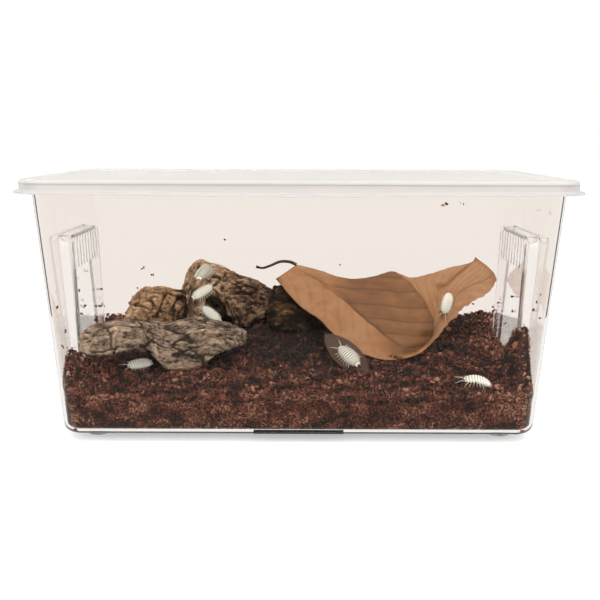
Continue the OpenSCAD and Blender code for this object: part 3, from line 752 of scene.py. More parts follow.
# How far the bed stays off the floor and the walls
BED_ABOVE = 0.4
BED_GAP = 0.6


def wave(degrees):
    return np.sin(np.radians(degrees))


def hill(x, y, at_x, at_y, half_x, half_y):
    """1 at a place on the bed, falling off to 0 round it."""
    return np.exp(-((x - at_x) / half_x) ** 2 - ((y - at_y) / half_y) ** 2)


def bed_z(x, y):
    """Height of the bed: it rises from the front, with banks and dips."""
    x, y = np.asarray(x, float), np.asarray(y, float)
    z = FLOOR_Z + BED_FRONT + np.where(y < 0, np.maximum(0, y + BED_HALF_WID) * FRONT_SLOPE,
                                       BED_HALF_WID * FRONT_SLOPE + y * REAR_SLOPE)
    z = z + 0.8 * wave(x * 7 + 40) * wave(y * 9) + 0.5 * wave(x * 17 + y * 11)
    z = z + 1.3 * (wave(x * 21 + 60 * wave(y * 9)) * wave(y * 23 + 50 * wave(x * 7)))
    for at_x, at_y, high, half_x, half_y in BANKS:
        z = z + high * hill(x, y, at_x, at_y, half_x, half_y)
    return z


def bed_limits(tub, y, z, gap):
    """Half the room along X that the tub leaves the bed at y and z, and the half width at z."""
    reach = CORNER_R - WALL - gap
    half_wid = tub.half_wid(z) - WALL - gap
    into = np.maximum(0, np.abs(y) - (tub.half_wid(z) - CORNER_R))
    wide = tub.half_len(z) - CORNER_R + np.sqrt(np.maximum(0, reach**2 - np.minimum(into, reach) ** 2))
    notch = GRIP_HALF + WALL + 1 + gap
    return np.where(np.abs(y) < notch, tub.grip_x(z) - WALL - gap, wide), half_wid


def settle_in_tub(tub, points, gap=0.35):
    """Moves points that would poke through a wall, the floor or a recess back inside."""
    inner_r = BASE_R - WALL
    z = np.maximum(points[:, 2], FLOOR_Z + gap)
    low = np.maximum(0, inner_r - (z - FLOOR_Z))
    tuck = inner_r - np.sqrt(np.maximum(0, inner_r**2 - low**2))
    _, half_wid = bed_limits(tub, points[:, 1], z, gap)
    y = np.clip(points[:, 1], -(half_wid - tuck), half_wid - tuck)
    half_len, _ = bed_limits(tub, y, z, gap)
    x = np.clip(points[:, 0], -(half_len - tuck), half_len - tuck)
    return np.column_stack([x, y, z])


def bed_lumps(x, y):
    """The loose surface: clumps a few millimetres across."""
    p = np.stack([x, y, np.zeros_like(x)], -1)
    return 3.4 * (fractal(p / 7, 3, 5) - 0.5) + 1.6 * (fractal(p / 2.4, 2, 9) - 0.5)


def bed_mass(tub):
    """The bed's body: a lumpy top, and sides pressed against the tub."""
    columns, rows, levels = 230, 130, 14
    # The bed meets the long walls some 34 mm up, and the end walls some 40 mm up
    side_z, end_z = 34, 40.0
    j, i = np.meshgrid(np.arange(rows + 1), np.arange(columns + 1), indexing="ij")
    half_wid = tub.half_wid(side_z) - WALL - BED_GAP
    y = mix(-half_wid, half_wid, j / rows)
    span, _ = bed_limits(tub, y, end_z, BED_GAP)
    x = mix(-span, span, i / columns)
    edge = np.minimum(np.minimum(i, columns - i), np.minimum(j, rows - j))
    z = bed_z(x, y) + bed_lumps(x, y) - 1.2 * (edge < 1)
    top = np.stack([x, y, z], -1).reshape(-1, 3)
    rim = sheet_rim(columns, rows)
    rings = []
    for k in range(1, levels + 1):
        ring = top[rim].copy()
        ring[:, 2] = mix(ring[:, 2], FLOOR_Z + BED_ABOVE, k / levels)
        inward = unit(np.column_stack([ring[:, :2] / BED_SPREAD, np.zeros(len(ring))]))
        rings.append(ring - inward * (0.9 + fractal(ring / 2.4, 3, 21) * 2.6)[:, None])
    points = settle_in_tub(tub, np.concatenate([top, *rings, [[0, 0, FLOOR_Z + BED_ABOVE]]]))
    n = len(rim)
    i = np.arange(n)
    following = (i + 1) % n
    first = np.stack([np.roll(rim, -1), rim, len(top) + i, len(top) + following], -1)
    walls = ring_faces(levels, n)[:, ::-1] + len(top)
    last = len(top) + (levels - 1) * n
    floor = np.stack([last + following, last + i, np.full(n, len(points) - 1)], -1)
    # The body is darker in the painted shade round the leaf and the bark too
    shade = 0.04 + 0.6 * fractal(points / 2.5, 3, 3) ** 2 * redness_and_shade(points)
    return points, [sheet_faces(columns, rows), first, walls, floor], shade


def icosahedron():
    """Points and faces of a round grain of radius 1."""
    g = (1 + 5**0.5) / 2
    p = np.array([(-1, g, 0), (1, g, 0), (-1, -g, 0), (1, -g, 0), (0, -1, g), (0, 1, g), (0, -1, -g), (0, 1, -g),
                  (g, 0, -1), (g, 0, 1), (-g, 0, -1), (-g, 0, 1)], float)
    f = np.array([(0, 11, 5), (0, 5, 1), (0, 1, 7), (0, 7, 10), (0, 10, 11), (1, 5, 9), (5, 11, 4), (11, 10, 2),
                  (10, 7, 6), (7, 1, 8), (3, 9, 4), (3, 4, 2), (3, 2, 6), (3, 6, 8), (3, 8, 9), (4, 9, 5),
                  (2, 4, 11), (6, 2, 10), (8, 6, 7), (9, 8, 1)])
    return unit(p), f


def octahedron():
    """The same with the fewest faces."""
    p = np.array([(1, 0, 0), (-1, 0, 0), (0, 1, 0), (0, -1, 0), (0, 0, 1), (0, 0, -1)], float)
    f = np.array([(0, 2, 4), (2, 1, 4), (1, 3, 4), (3, 0, 4), (2, 0, 5), (1, 2, 5), (3, 1, 5), (0, 3, 5)])
    return p, f


def turned(dice, count):
    """Random turns, one 3 by 3 matrix each."""
    w, x, y, z = unit(dice.normal(size=(count, 4))).T
    return np.stack([
        np.stack([1 - 2 * (y * y + z * z), 2 * (x * y - z * w), 2 * (x * z + y * w)], -1),
        np.stack([2 * (x * y + z * w), 1 - 2 * (x * x + z * z), 2 * (y * z - x * w)], -1),
        np.stack([2 * (x * z - y * w), 2 * (y * z + x * w), 1 - 2 * (x * x + y * y)], -1)], 1)


def chips(dice, places, size, flat, solid=icosahedron):
    """Uneven chips at places; size is each one's half length in mm, flat how thin it is."""
    ball, ball_faces = solid()
    count = len(places)
    shape = ball[None] * (1 + dice.uniform(-0.35, 0.35, (count, len(ball), 1)))
    stretch = np.stack([np.ones(count), dice.uniform(0.45, 0.9, count), np.full(count, flat)], -1)
    shape = shape * (stretch * size[:, None])[:, None]
    points = np.einsum("nij,nkj->nki", turned(dice, count), shape) + places[:, None]
    faces = ball_faces[None] + len(ball) * np.arange(count)[:, None, None]
    return points.reshape(-1, 3), faces.reshape(-1, 3)


def strands(dice, places, length, thick, lie):
    """Curly three-sided strands; thick is each one's radius, lie how flat they lie, 1 being level."""
    around, steps = 3, 6
    count = len(places)
    ahead = unit(dice.normal(size=(count, 3)) * [1, 1, 1 - lie])
    side = unit(np.cross(ahead, unit(dice.normal(size=(count, 3)))))
    up = np.cross(side, ahead)
    t = np.linspace(-0.5, 0.5, steps)
    bend = dice.uniform(-0.5, 0.5, (count, 1)) * (t * t - 0.08)[None] * 2
    curl = dice.uniform(-0.25, 0.25, (count, 1)) * np.sin(t * dice.uniform(5, 11, (count, 1)))
    path = t[None, :, None] * ahead[:, None] + bend[..., None] * side[:, None]
    path = path + (curl * (1 - lie * 0.7))[..., None] * up[:, None]
    path = places[:, None] + length[:, None, None] * path
    taper = (1 - (2 * t) ** 4 * 0.7)[None, :, None, None]
    points = path[:, :, None] + spokes(side, up, around)[:, None] * taper * thick[:, None, None, None]
    quads = ring_faces(steps, around)
    base = steps * around * np.arange(count)[:, None, None]
    caps = np.array([list(range(around))[::-1], list(range((steps - 1) * around, steps * around))])
    return points.reshape(-1, 3), [(quads[None] + base).reshape(-1, 4), (caps[None] + base).reshape(-1, around)]


def under_bark(x, y):
    """True where a bark lies on the bed and hides it."""
    hidden = np.zeros(len(x), bool)
    for node in ("cork_block_left", "cork_bark_rear_right"):
        low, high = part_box(node)
        hidden |= (x > low[0] / MM + 4) & (x < high[0] / MM - 4) & (y > low[1] / MM + 4) & (y < high[1] / MM - 4)
    return hidden


def scatter_top(dice, count):
    """Places on the bed's top, thinner towards the back."""
    x = dice.uniform(-150, 150, count * 2)
    y = -88 + 176 * dice.random(count * 2) ** 1.25
    bare = ~under_bark(x, y)
    x, y = x[bare][:count], y[bare][:count]
    return np.column_stack([x, y, bed_z(x, y) + bed_lumps(x, y)])


def scatter_wall(tub, dice, count, side):
    """Places just inside a wall, from the floor to the bed's edge."""
    sign = -1.0 if side in ("front", "left") else 1.0
    if side in ("front", "rear"):
        x = dice.uniform(1 - BED_HALF_LEN, BED_HALF_LEN - 1, count)
        z = mix(FLOOR_Z + 0.8, bed_z(x, sign * BED_HALF_WID) + 1.5, dice.random(count))
        y = sign * (tub.half_wid(z) - WALL - dice.uniform(0.9, 2.0, count))
    else:
        y = dice.uniform(-BED_HALF_WID, BED_HALF_WID, count)
        z = mix(FLOOR_Z + 0.8, bed_z(sign * BED_HALF_LEN, y) + 2.5, dice.random(count))
        x = sign * (bed_limits(tub, y, z, 0.9)[0] - dice.uniform(0.0, 1.1, count))
    return np.column_stack([x, y, z])


def redness_and_shade(p):
    """How much the coir reddens at each place, 0 to 1: redder fibre in clumps in front, and low in the painted shade
    round the leaf and the rear bark and beneath the front bark.
    """
    x, y, z = p.T
    clump = fractal(p / [10, 8, 6], 4, 31)
    # Painted shade: the coir is darker round the leaf and the rear bark, and beneath the front bark
    shadow = hill(x, y, 0, 5, 60, 34)
    under_slab_shade = hill(x, y, -95, -34, 42, 13)
    front = smooth((-y - 25) / 45)
    end = smooth((np.abs(x) - 120) / 25)
    low = smooth((20 - z) / 8) * front
    return np.clip((clump - 0.5) * 2.9 + 0.35 + 0.1 * front + 0.2 * low + 0.34 * end - 1.05 * shadow - 0.5 * under_slab_shade, 0, 1)


def build_bed(sizes, contents):
    tub = TubShape(sizes)
    dice = np.random.default_rng(contents.seed)
    husk = coir("coir_husk_chips", COIR_CHIPS, 0.85)
    points, faces, shade = bed_mass(tub)
    body = make_mesh("coir_bed", points, faces, coir("coir_pith_damp", COIR_CHIPS, 0.9), "keeper",
                     marks={"shade": shade}, close=True)
    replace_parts(body, "substrate_bed")

    def spread(count, shares):
        """Places over the bed's top and these shares of as many on its walls; True marks the top's."""
        walls = [scatter_wall(tub, dice, int(count * share), side) for side, share in shares.items()]
        top = scatter_top(dice, count)
        places = np.concatenate([top, *walls])
        return places, np.arange(len(places)) < len(top)

    def tinted(places, spread_of, low=0.0):
        """A shade for each grain: low for dark pith, and up to spread_of lighter where the coir is redder and out of
        the painted shade.
        """
        red_and_shade = redness_and_shade(places)
        return np.clip(low + dice.beta(1.3, 1.7, len(places)) * spread_of * (0.3 + 0.95 * red_and_shade), 0, 1)

    def lay(name, points, faces, material, shade):
        """Grains in the tub, each with its own shade."""
        make_mesh(name, settle_in_tub(tub, points), faces, material, "keeper",
                  marks={"shade": np.repeat(shade, len(points) // len(shade))})

    # Granules of pith and husk, mostly 1 to 2.5 mm across; those on a wall are small, so that they don't flatten there
    places, on_top = spread(contents.chips, {"front": 0.9, "left": 0.25, "right": 0.25, "rear": 0.15})
    places[:, 2] += np.where(on_top, dice.uniform(-0.8, 1.5, len(places)), 0)
    size = dice.uniform(0.4, 1.05, len(places)) * np.where(on_top, 1.2, 1.0)
    points, faces = chips(dice, places, size, 0.6, octahedron)
    lay("coir_granules", points, [faces], husk, tinted(places, 1.35))

    # Husk chips, mostly 2 to 6 mm long
    places, on_top = spread(contents.chips // 7, {"front": 0.5, "left": 0.2, "right": 0.2})
    places[:, 2] += np.where(on_top, dice.uniform(-0.3, 1.4, len(places)), 0)
    size = np.minimum(dice.gamma(4.0, 0.3, len(places)) + 0.6, np.where(on_top, 3.0, 1.3))
    points, faces = chips(dice, places, size, 0.35)
    lay("coir_chips", points, [faces], husk, tinted(places, 1.3, 0.1))

    # Strands, 3 to 15 mm long and drawn up to 0.3 mm thick, about twice the real thickness, so that they show
    places, on_top = spread(contents.strands, {"front": 0.45, "left": 0.12, "right": 0.12, "rear": 0.06})
    places[:, 2] += 0.6 * on_top
    # Strands are fewer and darker in the painted shade
    red_and_shade = redness_and_shade(places)
    keep = dice.random(len(places)) < 0.15 + 1.2 * red_and_shade
    places, red_and_shade = places[keep], red_and_shade[keep]
    length = np.minimum(dice.gamma(3.5, 1.3, len(places)) + 2.5, 15)
    points, faces = strands(dice, places, length, dice.uniform(0.08, 0.15, len(places)), 0.35)
    shade = np.clip(dice.normal(0.34, 0.22, len(places)) + 0.12 * red_and_shade, 0, 1)
    lay("coir_strands", points, faces, coir("coir_strands", COIR_STRANDS, 0.7), shade)


# ---------- cork bark ----------

# Rows along X of each bark: x, front edge (y, z), rear edge (y, z), and how far it arches between them
SLAB_FRONT = [(-148, -52, 55, -46, 61, 1), (-142, -58, 53, -42, 68, 5), (-128, -58, 52, -37, 71, 6),
              (-113, -54, 55, -31, 72, 6), (-100, -52, 53, -25, 68, 6), (-88, -53, 41, -21, 67, 5),
              (-72, -51, 41, -16, 70, 5), (-57, -46, 48, -14, 67, 5), (-44, -38, 53, -16, 64, 4),
              (-36, -28, 57, -22, 60, 1)]
HUMP_BACK = [(-91, 47, 66, 62, 64, 10), (-86, 42, 58, 74, 54, 36), (-77, 22, 57, 77, 53, 46),
             (-68, 20, 78, 78, 53, 34), (-58, 21, 78, 78, 53, 31), (-50, 18, 64, 76, 53, 34),
             (-40, 18, 59, 74, 53, 33), (-30, 29, 62, 72, 53, 27), (-20, 40, 64, 66, 56, 18)]
BLOCK_LEFT = [(-128, 16, 56, 28, 56, 8), (-122, 8, 54, 36, 54, 24), (-112, 8, 54, 38, 54, 31),
              (-100, 8, 54, 39, 54, 31), (-92, 8, 55, 38, 54, 29), (-84, 9, 56, 36, 55, 28)]
BARK_REAR_RIGHT = [(-23, 8, 62, 26, 60, 16), (-17, 3, 58, 31, 59, 28.5), (-8, 2, 58, 34, 59, 27),
                   (2, 3, 58, 36, 59, 21), (12, 6, 58, 36, 59, 15), (19, 12, 60, 32, 59, 7)]
ROW_STEP = 0.6
ACROSS_OUT, ACROSS_IN = 110, 36


def bark_point(table, s, t, below=0.0):
    """A point on the bark: s is the row, t runs 0 to 1 from its front edge to its rear edge."""
    c = spline_at(table, s)
    d = unit(np.stack([c[..., 3] - c[..., 1], c[..., 4] - c[..., 2]], -1))
    rise = c[..., 5] * np.sin(np.pi * t) - below
    return np.stack([c[..., 0], mix(c[..., 1], c[..., 3], t) - d[..., 1] * rise,
                     mix(c[..., 2], c[..., 4], t) + d[..., 0] * rise], -1)


def crack_depth(p, seed, stretch):
    """How far each point of the bark is out of a crack, 0 to 1, and how far it stands out, about -1 to 1.
    It has a few deep splits, thin cracks along the grain and a gritty face."""
    warp = np.stack([fractal(p / 14, 3, seed + k) for k in (11, 12, 13)], -1) - 0.5
    q = p + warp * 8
    gap = cell_gap(q / stretch, seed)
    split = 1 - bell(gap, 0.05) * smooth((fractal(p / 14, 2, seed + 3) - 0.46) / 0.1)
    crack = fractal(q / [20, 8, 6], 2, seed + 20, step=2.1, fade=0.55, creased=True) ** 4
    grit = 0.5 * fractal(q / [1.9, 1.3, 1.3], 3, seed + 8) + 0.5 * fractal(q / [8, 1.6, 1.6], 3, seed + 14)
    pits = smooth((fractal(q / [5, 3.4, 3.4], 3, seed + 5) - 0.58) / 0.1)
    plates = fractal(q / [15, 8, 8], 3, seed + 9)
    depth = np.clip(split * (0.58 - 0.2 * crack - 0.25 * pits + 1.9 * (grit - 0.5) + 0.6 * (plates - 0.5)), 0, 1)
    return depth, 0.75 * (split - 1) - 0.15 * crack - 0.25 * pits + 1.1 * (plates - 0.5) + 1.1 * (grit - 0.5)


def build_bark_piece(name, node, table, thick, seed, stretch, rough, material, body, fade=None):
    """stretch is the size of the bark's plates in mm, rough how far its cracks and grit stand out,
    and fade is (from x, to x, how much darker)."""
    rows = int((table[-1][0] - table[0][0]) / ROW_STEP)
    s = np.linspace(0, len(table) - 1, rows)[:, None]
    outer = bark_point(table, *np.broadcast_arrays(s, np.linspace(0, 1, ACROSS_OUT)[None]))
    s_in, t_in = np.broadcast_arrays(s, np.linspace(1, 0, ACROSS_IN)[None])
    inner = bark_point(table, s_in, t_in, below=thick * (0.3 + 0.7 * np.sin(np.pi * t_in)))
    rings = np.concatenate([outer, inner], 1)
    flat = rings.reshape(-1, 3)

    def noise(p, octaves, salt):
        return fractal(p, octaves, seed + salt).reshape(rings.shape[:2]) - 0.5

    depth, stands = [a.reshape(rings.shape[:2]) for a in crack_depth(flat, seed, stretch)]
    lift = rough * (stands + 0.3 * noise(flat / 1.8, 2, 40))
    out = np.cross(np.gradient(rings, axis=0), np.roll(rings, -1, axis=1) - np.roll(rings, 1, axis=1))
    out = out / np.maximum(1e-9, np.linalg.norm(out, axis=-1, keepdims=True))
    crest = ACROSS_OUT // 2
    if np.mean(np.sum(out[:, crest] * (rings[:, crest] - rings.mean(1)), -1)) < 0:
        out = -out
    if fade is not None:
        start, end, darker = fade
        depth = depth - darker * smooth((rings[..., 0] - start) / (end - start))
    # Broken ends: the outline wanders by a few millimetres
    ends = np.minimum(np.arange(rows), np.arange(rows)[::-1])[:, None]
    wander = noise(flat / 5.0, 2, 60) * 5 * np.exp(-ends / 5.0)
    rings = rings + out * lift[..., None]
    rings[..., 0] += wander
    rings[..., 2] = np.maximum(rings[..., 2], bed_z(rings[..., 0], rings[..., 1]) + 0.35)
    points, faces = skin(rings)
    marks = np.concatenate([depth.ravel(), [0.3, 0.3]])
    piece = make_mesh(name, points, faces, material, body, marks={"depth": marks}, close=True)
    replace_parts(piece, node)


def build_bark(contents):
    thick = contents.cork_t / MM
    grey = cork("cork_bark_weathered", CORK_GREY)
    brown = cork("cork_bark_broken", CORK_BROWN)
    old = cork("cork_bark_old", CORK_OLD)
    dark = cork("cork_bark_painted_shade", CORK_PAINTED_SHADE)
    build_bark_piece("cork_slab", "cork_slab_front", SLAB_FRONT, thick, 3, (26, 14, 14), 1.7, grey, "front_bark",
                     (-128, -104, 0.2))
    build_bark_piece("cork_block", "cork_block_left", BLOCK_LEFT, thick, 17, (18, 13, 13), 3.2, old, "keeper",
                     (-92, -86, 0.35))
    build_bark_piece("cork_hump", "cork_hump_back", HUMP_BACK, thick, 29, (20, 13, 13), 3.6, brown, "keeper",
                     (-60, -44, 0.26))
    # The rear bark's near-black colour paints the shadow that falls on it beneath the leaf
    build_bark_piece("cork_curl", "cork_bark_rear_right", BARK_REAR_RIGHT, thick, 41, (12, 9, 9), 4.0, dark,
                     "keeper")


# ---------- leaves ----------

# Rows from the leaf's base to its tip, of four points each from its lower edge to its upper one
LEAF = [((-17, 16, 92), (-10, 22, 96), (-5, 26, 99), (-2, 28, 101)),
        ((0, 2, 75), (11, 16, 89), (15, 20, 93), (15, 26, 97)),
        ((15, -14, 67), (29, 0, 79), (35, 8, 87), (35, 18, 92)),
        ((32, -26, 52), (45, -8, 66), (55, 2, 79), (53, 16, 94)),
        ((53, -32, 44), (63, -18, 52), (77, -6, 73), (66, 14, 98)),
        ((70, -30, 43), (75, -20, 46), (91, -8, 68), (74, 14, 96)),
        ((87, -18, 46), (94, -6, 53), (101, 6, 67), (82, 18, 93)),
        ((106, 4, 59), (105, 9, 67), (102, 15, 81), (96, 24, 95)),
        ((122, 12, 74), (118, 17, 83), (114, 23, 92), (112, 30, 99)),
        ((137, 17, 81), (136, 21, 91), (132, 25, 99), (127, 30, 103)),
        ((145, 22, 91), (143, 24, 96), (138, 27, 101), (130, 30, 107))]
STALK = [(-2, 28, 101), (-7, 29, 103), (-14, 30, 103), (-21, 31, 100), (-27, 32, 98), (-32, 32, 99)]
# u at the leaf's tip, and v at its upper edge
TIP, TOP = 10, 3
# Where the cup's crest crosses the leaf: (v, u)
LEAF_CREST = [(0.0, 5.43), (0.5, 5.73), (0.98, 5.88), (1.4, 5.65), (1.8, 5.38), (2.07, 5.2), (2.42, 5.15),
              (2.72, 5.03), (2.98, 4.4), (3.0, 3.7)]
# The painted shadow line along the far lobe: (u, v)
LOBE_SHADOW = [(7.0, 2.3), (7.6, 2.0), (8.0, 2.03), (8.4, 2.3), (9.0, 3.0)]
LEAF_TAN = [(0.0, "3a281f"), (0.25, "694628"), (0.5, "94653d"), (0.75, "ae8563"), (1.0, "c8a68a")]
LEAF_DAMP = [(0.0, "2b1d18"), (0.5, "4d362c"), (1.0, "6d5142")]


def leaf_at(u, v):
    """A point of the large leaf: u runs from its base to its tip, v from its lower edge up."""
    rows = spline_at(LEAF, u)
    k = np.clip(np.floor(v).astype(int), 0, TOP - 1)

    def row(i):
        return np.take_along_axis(rows, np.clip(i, 0, TOP)[..., None, None], axis=-2)[..., 0, :]

    return curve(row(k - 1), row(k), row(k + 1), row(k + 2), (v - k)[..., None])


def leaf_across(u, v, e):
    """The way up the leaf from one point e below to one e above."""
    return leaf_at(u, np.minimum(TOP, v + e)) - leaf_at(u, np.maximum(0, v - e))


def leaf_normal(u, v):
    """The direction out of the large leaf's face."""
    e = 0.05
    return unit(np.cross(leaf_at(np.minimum(TIP, u + e), v) - leaf_at(np.maximum(0, u - e), v), leaf_across(u, v, e)))


def fold(away, gentle, sharp):
    """A fold's rise: gentle up to it and sharp beyond it."""
    return bell(away, np.where(away < 0, gentle, sharp))


def stalk():
    """The leaf's stalk, thicker at its end."""
    t = np.linspace(0, 1, 41)
    path = spline_at(STALK, np.linspace(0, len(STALK) - 1, len(t)))
    return tube(path, mix(1.25, 0.75, t) + 0.35 * smooth((t - 0.86) / 0.14), 12)


def build_large_leaf():
    columns, rows = 300, 120
    v, u = np.meshgrid(np.linspace(0, TOP, rows + 1), np.linspace(0, TIP, columns + 1), indexing="ij")
    middle = leaf_at(u, v)
    out = leaf_normal(u, v)
    edge = np.minimum(np.minimum(v, TOP - v) / 0.15, np.minimum(u, TIP - u) / 0.3)
    hold = smooth(edge)
    wobble = fractal(middle / 14, 3, 5) - 0.5
    # The leaf folds over itself along the cup's crest, along the midrib and beside its base
    past = u - np.interp(v, *np.transpose(LEAF_CREST)) + 0.12 * wobble
    crest = fold(past, 0.8, 0.11) * smooth((2.98 - v) / 0.2) * smooth((v - 0.9) / 0.3)
    below = 1.06 - v + 0.06 * wobble
    ridge = fold(-below, 0.35, 0.05) * smooth((u - 1.7) / 0.5) * smooth((5.8 - u) / 0.3)
    side = v - (1.9 - 0.8 * (u - 0.4)) + 0.08 * wobble
    pleat = fold(side, 0.05, 0.3) * smooth((u - 0.2) / 0.3) * smooth((1.7 - u) / 0.4)
    cup = smooth(-past / 0.08) * smooth(-below / 0.05) * smooth((u - 0.8) / 1.6)
    in_cup = cup > 0.5

    # In the cup the side veins stand 9 mm apart; in the far lobe they run forward from the midrib
    lines = (middle[..., 2] + 0.06 * (middle[..., 0] - 60) + 2.2 * wobble) / 9.2 - 0.26
    branch = np.where(v > 1, 2.1 * (v - 1) - 0.25 * (v - 1) ** 2, 1.1 * (1 - v))
    forward = (u - branch + 0.15 * wobble) / 0.62
    apart = np.where(in_cup, np.abs(lines - np.round(lines)) / 0.06, np.abs(forward - np.round(forward)) / 0.09)
    side_vein = bell(apart, 1) * np.where(in_cup, 0.9, 0.25)
    midrib = bell(v - 1, 0.035) * (u > 5.8) + bell(v - 1.35, 0.04) * (u < 2.2) * 0.6
    vein = np.clip(np.maximum(midrib * 0.9, side_vein * hold), 0, 1)

    # The face swells between the veins, and the edges are ragged
    quilt = 0.6 * np.cos(2 * np.pi * np.where(in_cup, lines - 0.5, forward - 0.5)) * np.where(in_cup, 1.0, 0.3)
    ripple = 1.3 * (fractal(middle / 22, 3, 15) - 0.5) + quilt
    lift = (ripple - 0.3 * vein + 1.7 * crest + 1.1 * ridge + 0.6 * pleat) * hold
    middle = middle + out * lift[..., None]
    torn = 1.0 + 3.0 * smooth((u - 5.8) / 0.5) * (v < 1)
    ragged = (1 - smooth(np.minimum(v, TOP - v) / 0.2)) * (fractal(middle / 3, 3, 45) - 0.5) * torn
    middle = middle + unit(leaf_across(u, v, 0.1)) * ragged[..., None]

    # Painted shade beneath the folds, in the cup, on the flap beside the midrib, along the crest and the pleat, with
    # painted light just past the crest and a painted shadow line along the far lobe; darker round the edge too
    shadow = bell(np.maximum(0, -below), 0.10) * (below < 0) * smooth((u - 1.9) / 0.5) * smooth((5.7 - u) / 0.3)
    flap_shade = smooth((u - 3.0) / 1.6) * smooth((5.9 - u) / 0.2) * bell(1.0 - v, 0.5) * (below > 0)
    # The cup, the flap and the crest are painted darker as shade, and the far side of the crest lighter as painted
    # light
    tone = 0.60 - 0.27 * cup - 0.2 * shadow - 0.34 * flap_shade + 0.05 * smooth(past / 0.1)
    tone = tone - 0.3 * bell(past, 0.06) * smooth((v - 1) / 0.3) - 0.25 * (1 - smooth(edge / 0.35))
    lobe_shadow = v - np.interp(u, *np.transpose(LOBE_SHADOW)) + 0.2 * wobble
    tone = tone - 0.3 * bell(lobe_shadow, 0.14) * smooth((u - 6.8) / 0.4) - 0.12 * smooth((u - 9.2) / 0.5)
    tone = tone - 0.12 * pleat - 0.35 * smooth((0.35 - u) / 0.3) * smooth((0.5 - v) / 0.4)
    tone = tone + 0.16 * (fractal(middle / 26, 3, 25) - 0.5) + 0.12 * (fractal(middle / [9, 9, 2.5], 3, 65) - 0.5)

    body, handle = thin_sheet(middle, out, 0.45 + 0.3 * vein), stalk()
    points, faces = joined([body, handle])
    plain = np.zeros(len(handle[0]))
    piece = make_mesh("leaf_tan", points, faces, dry_leaf("dry_leaf_tan", LEAF_TAN, "5a3b26"), "leaf",
                      sharp=60, close=True, marks={"tone": np.concatenate([np.tile(tone.ravel(), 2), plain]),
                                                   "vein": np.concatenate([np.tile(vein.ravel() * 0.8, 2), plain])})
    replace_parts(piece, "leaf_large")


SMALL_LEAF_AT = np.array([33, -34.2, 46])
SMALL_LEAF_ALONG = np.array([14, -12, -11.0])
SMALL_LEAF_OUT = np.array([-0.15, -0.75, 0.64])
SMALL_LEAF_HALF = (22, 9)


def build_small_leaf():
    columns, rows = 90, 36
    v, u = np.meshgrid(np.linspace(-1, 1, rows + 1), np.linspace(-1, 1, columns + 1), indexing="ij")
    a = unit(SMALL_LEAF_ALONG)
    b = unit(np.cross(SMALL_LEAF_OUT, a))
    n = np.cross(a, b)
    half_len, half_wid = SMALL_LEAF_HALF
    taper = 0.04 + 0.96 * np.maximum(0, np.cos(np.pi / 2 * u)) ** 0.7
    middle = SMALL_LEAF_AT + a * (u * half_len)[..., None] + b * (v * taper * half_wid)[..., None]
    middle = middle + n * (2 * (v * v * taper + u * u) + 0.4)[..., None]
    phase = (u * half_len - np.abs(v) * taper * 7) / 4.2
    vein = np.maximum(bell(v, 0.07), bell(phase - np.round(phase), 0.12) * 0.6)
    middle = middle + n * (0.8 * (fractal(middle / 7, 2, 77) - 0.5) + 0.15 * vein)[..., None]
    middle[..., 2] = np.maximum(middle[..., 2], bed_z(middle[..., 0], middle[..., 1]) + 0.7)
    points, faces = thin_sheet(middle, np.broadcast_to(n, middle.shape), np.full(u.shape, 0.45))
    tone = np.tile((0.45 + 0.25 * (fractal(middle / 8, 3, 79) - 0.5)).ravel(), 2)
    piece = make_mesh("leaf_dark", points, faces, dry_leaf("damp_leaf_dark", LEAF_DAMP, "5f4638"), "keeper",
                      sharp=60, marks={"tone": tone, "vein": np.tile(vein.ravel() * 0.5, 2)}, close=True)
    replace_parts(piece, "leaf_small")


# ---------- isopods ----------

ISOPOD_WIDE = 8.0
ISOPOD_TALL = 4.4
ISOPOD_AROUND = 28
# Where each plate starts, from 1 at the head's tip to -1 at the tail's
PLATES = (0.98, 0.86, 0.70, 0.52, 0.34, 0.16, -0.02, -0.20, -0.38, -0.52, -0.63, -0.73, -0.82, -0.99)
# The rings of a plate: how far along it, and how dark, as painted shade in the gap in front of it
PLATE_RINGS = ((0.0, 1.1), (0.14, 1.0), (0.32, 0.5), (0.65, 0.0), (0.97, 0.0))
LEG_PAIRS = 7
# Places of a feeler and a tail point: a share of the length along X, then mm across and up
FEELER = ((0.46, 1.1, 2.0), (0.54, 2.1, 2.4), (0.62, 2.5, 1.8), (0.70, 3.3, 1.1), (0.76, 3.6, 0.8))
TAIL_POINT = ((-0.48, 0.6, 1.6), (-0.53, 0.9, 1.2), (-0.57, 1.1, 0.9))
LIMB_SHADE = 0.45


def limb(path, thick, thin, rings):
    """A tapering leg, feeler or tail point through a few places."""
    return tube(spline_at(path, np.linspace(0, len(path) - 1, rings)), np.linspace(thick, thin, rings), 6)


def girth(t):
    """An isopod's share of its full width at a place along it, 1 being the head's tip and -1 the tail's."""
    return max(0.12, 1 - abs(t) ** 2.3) ** 0.42


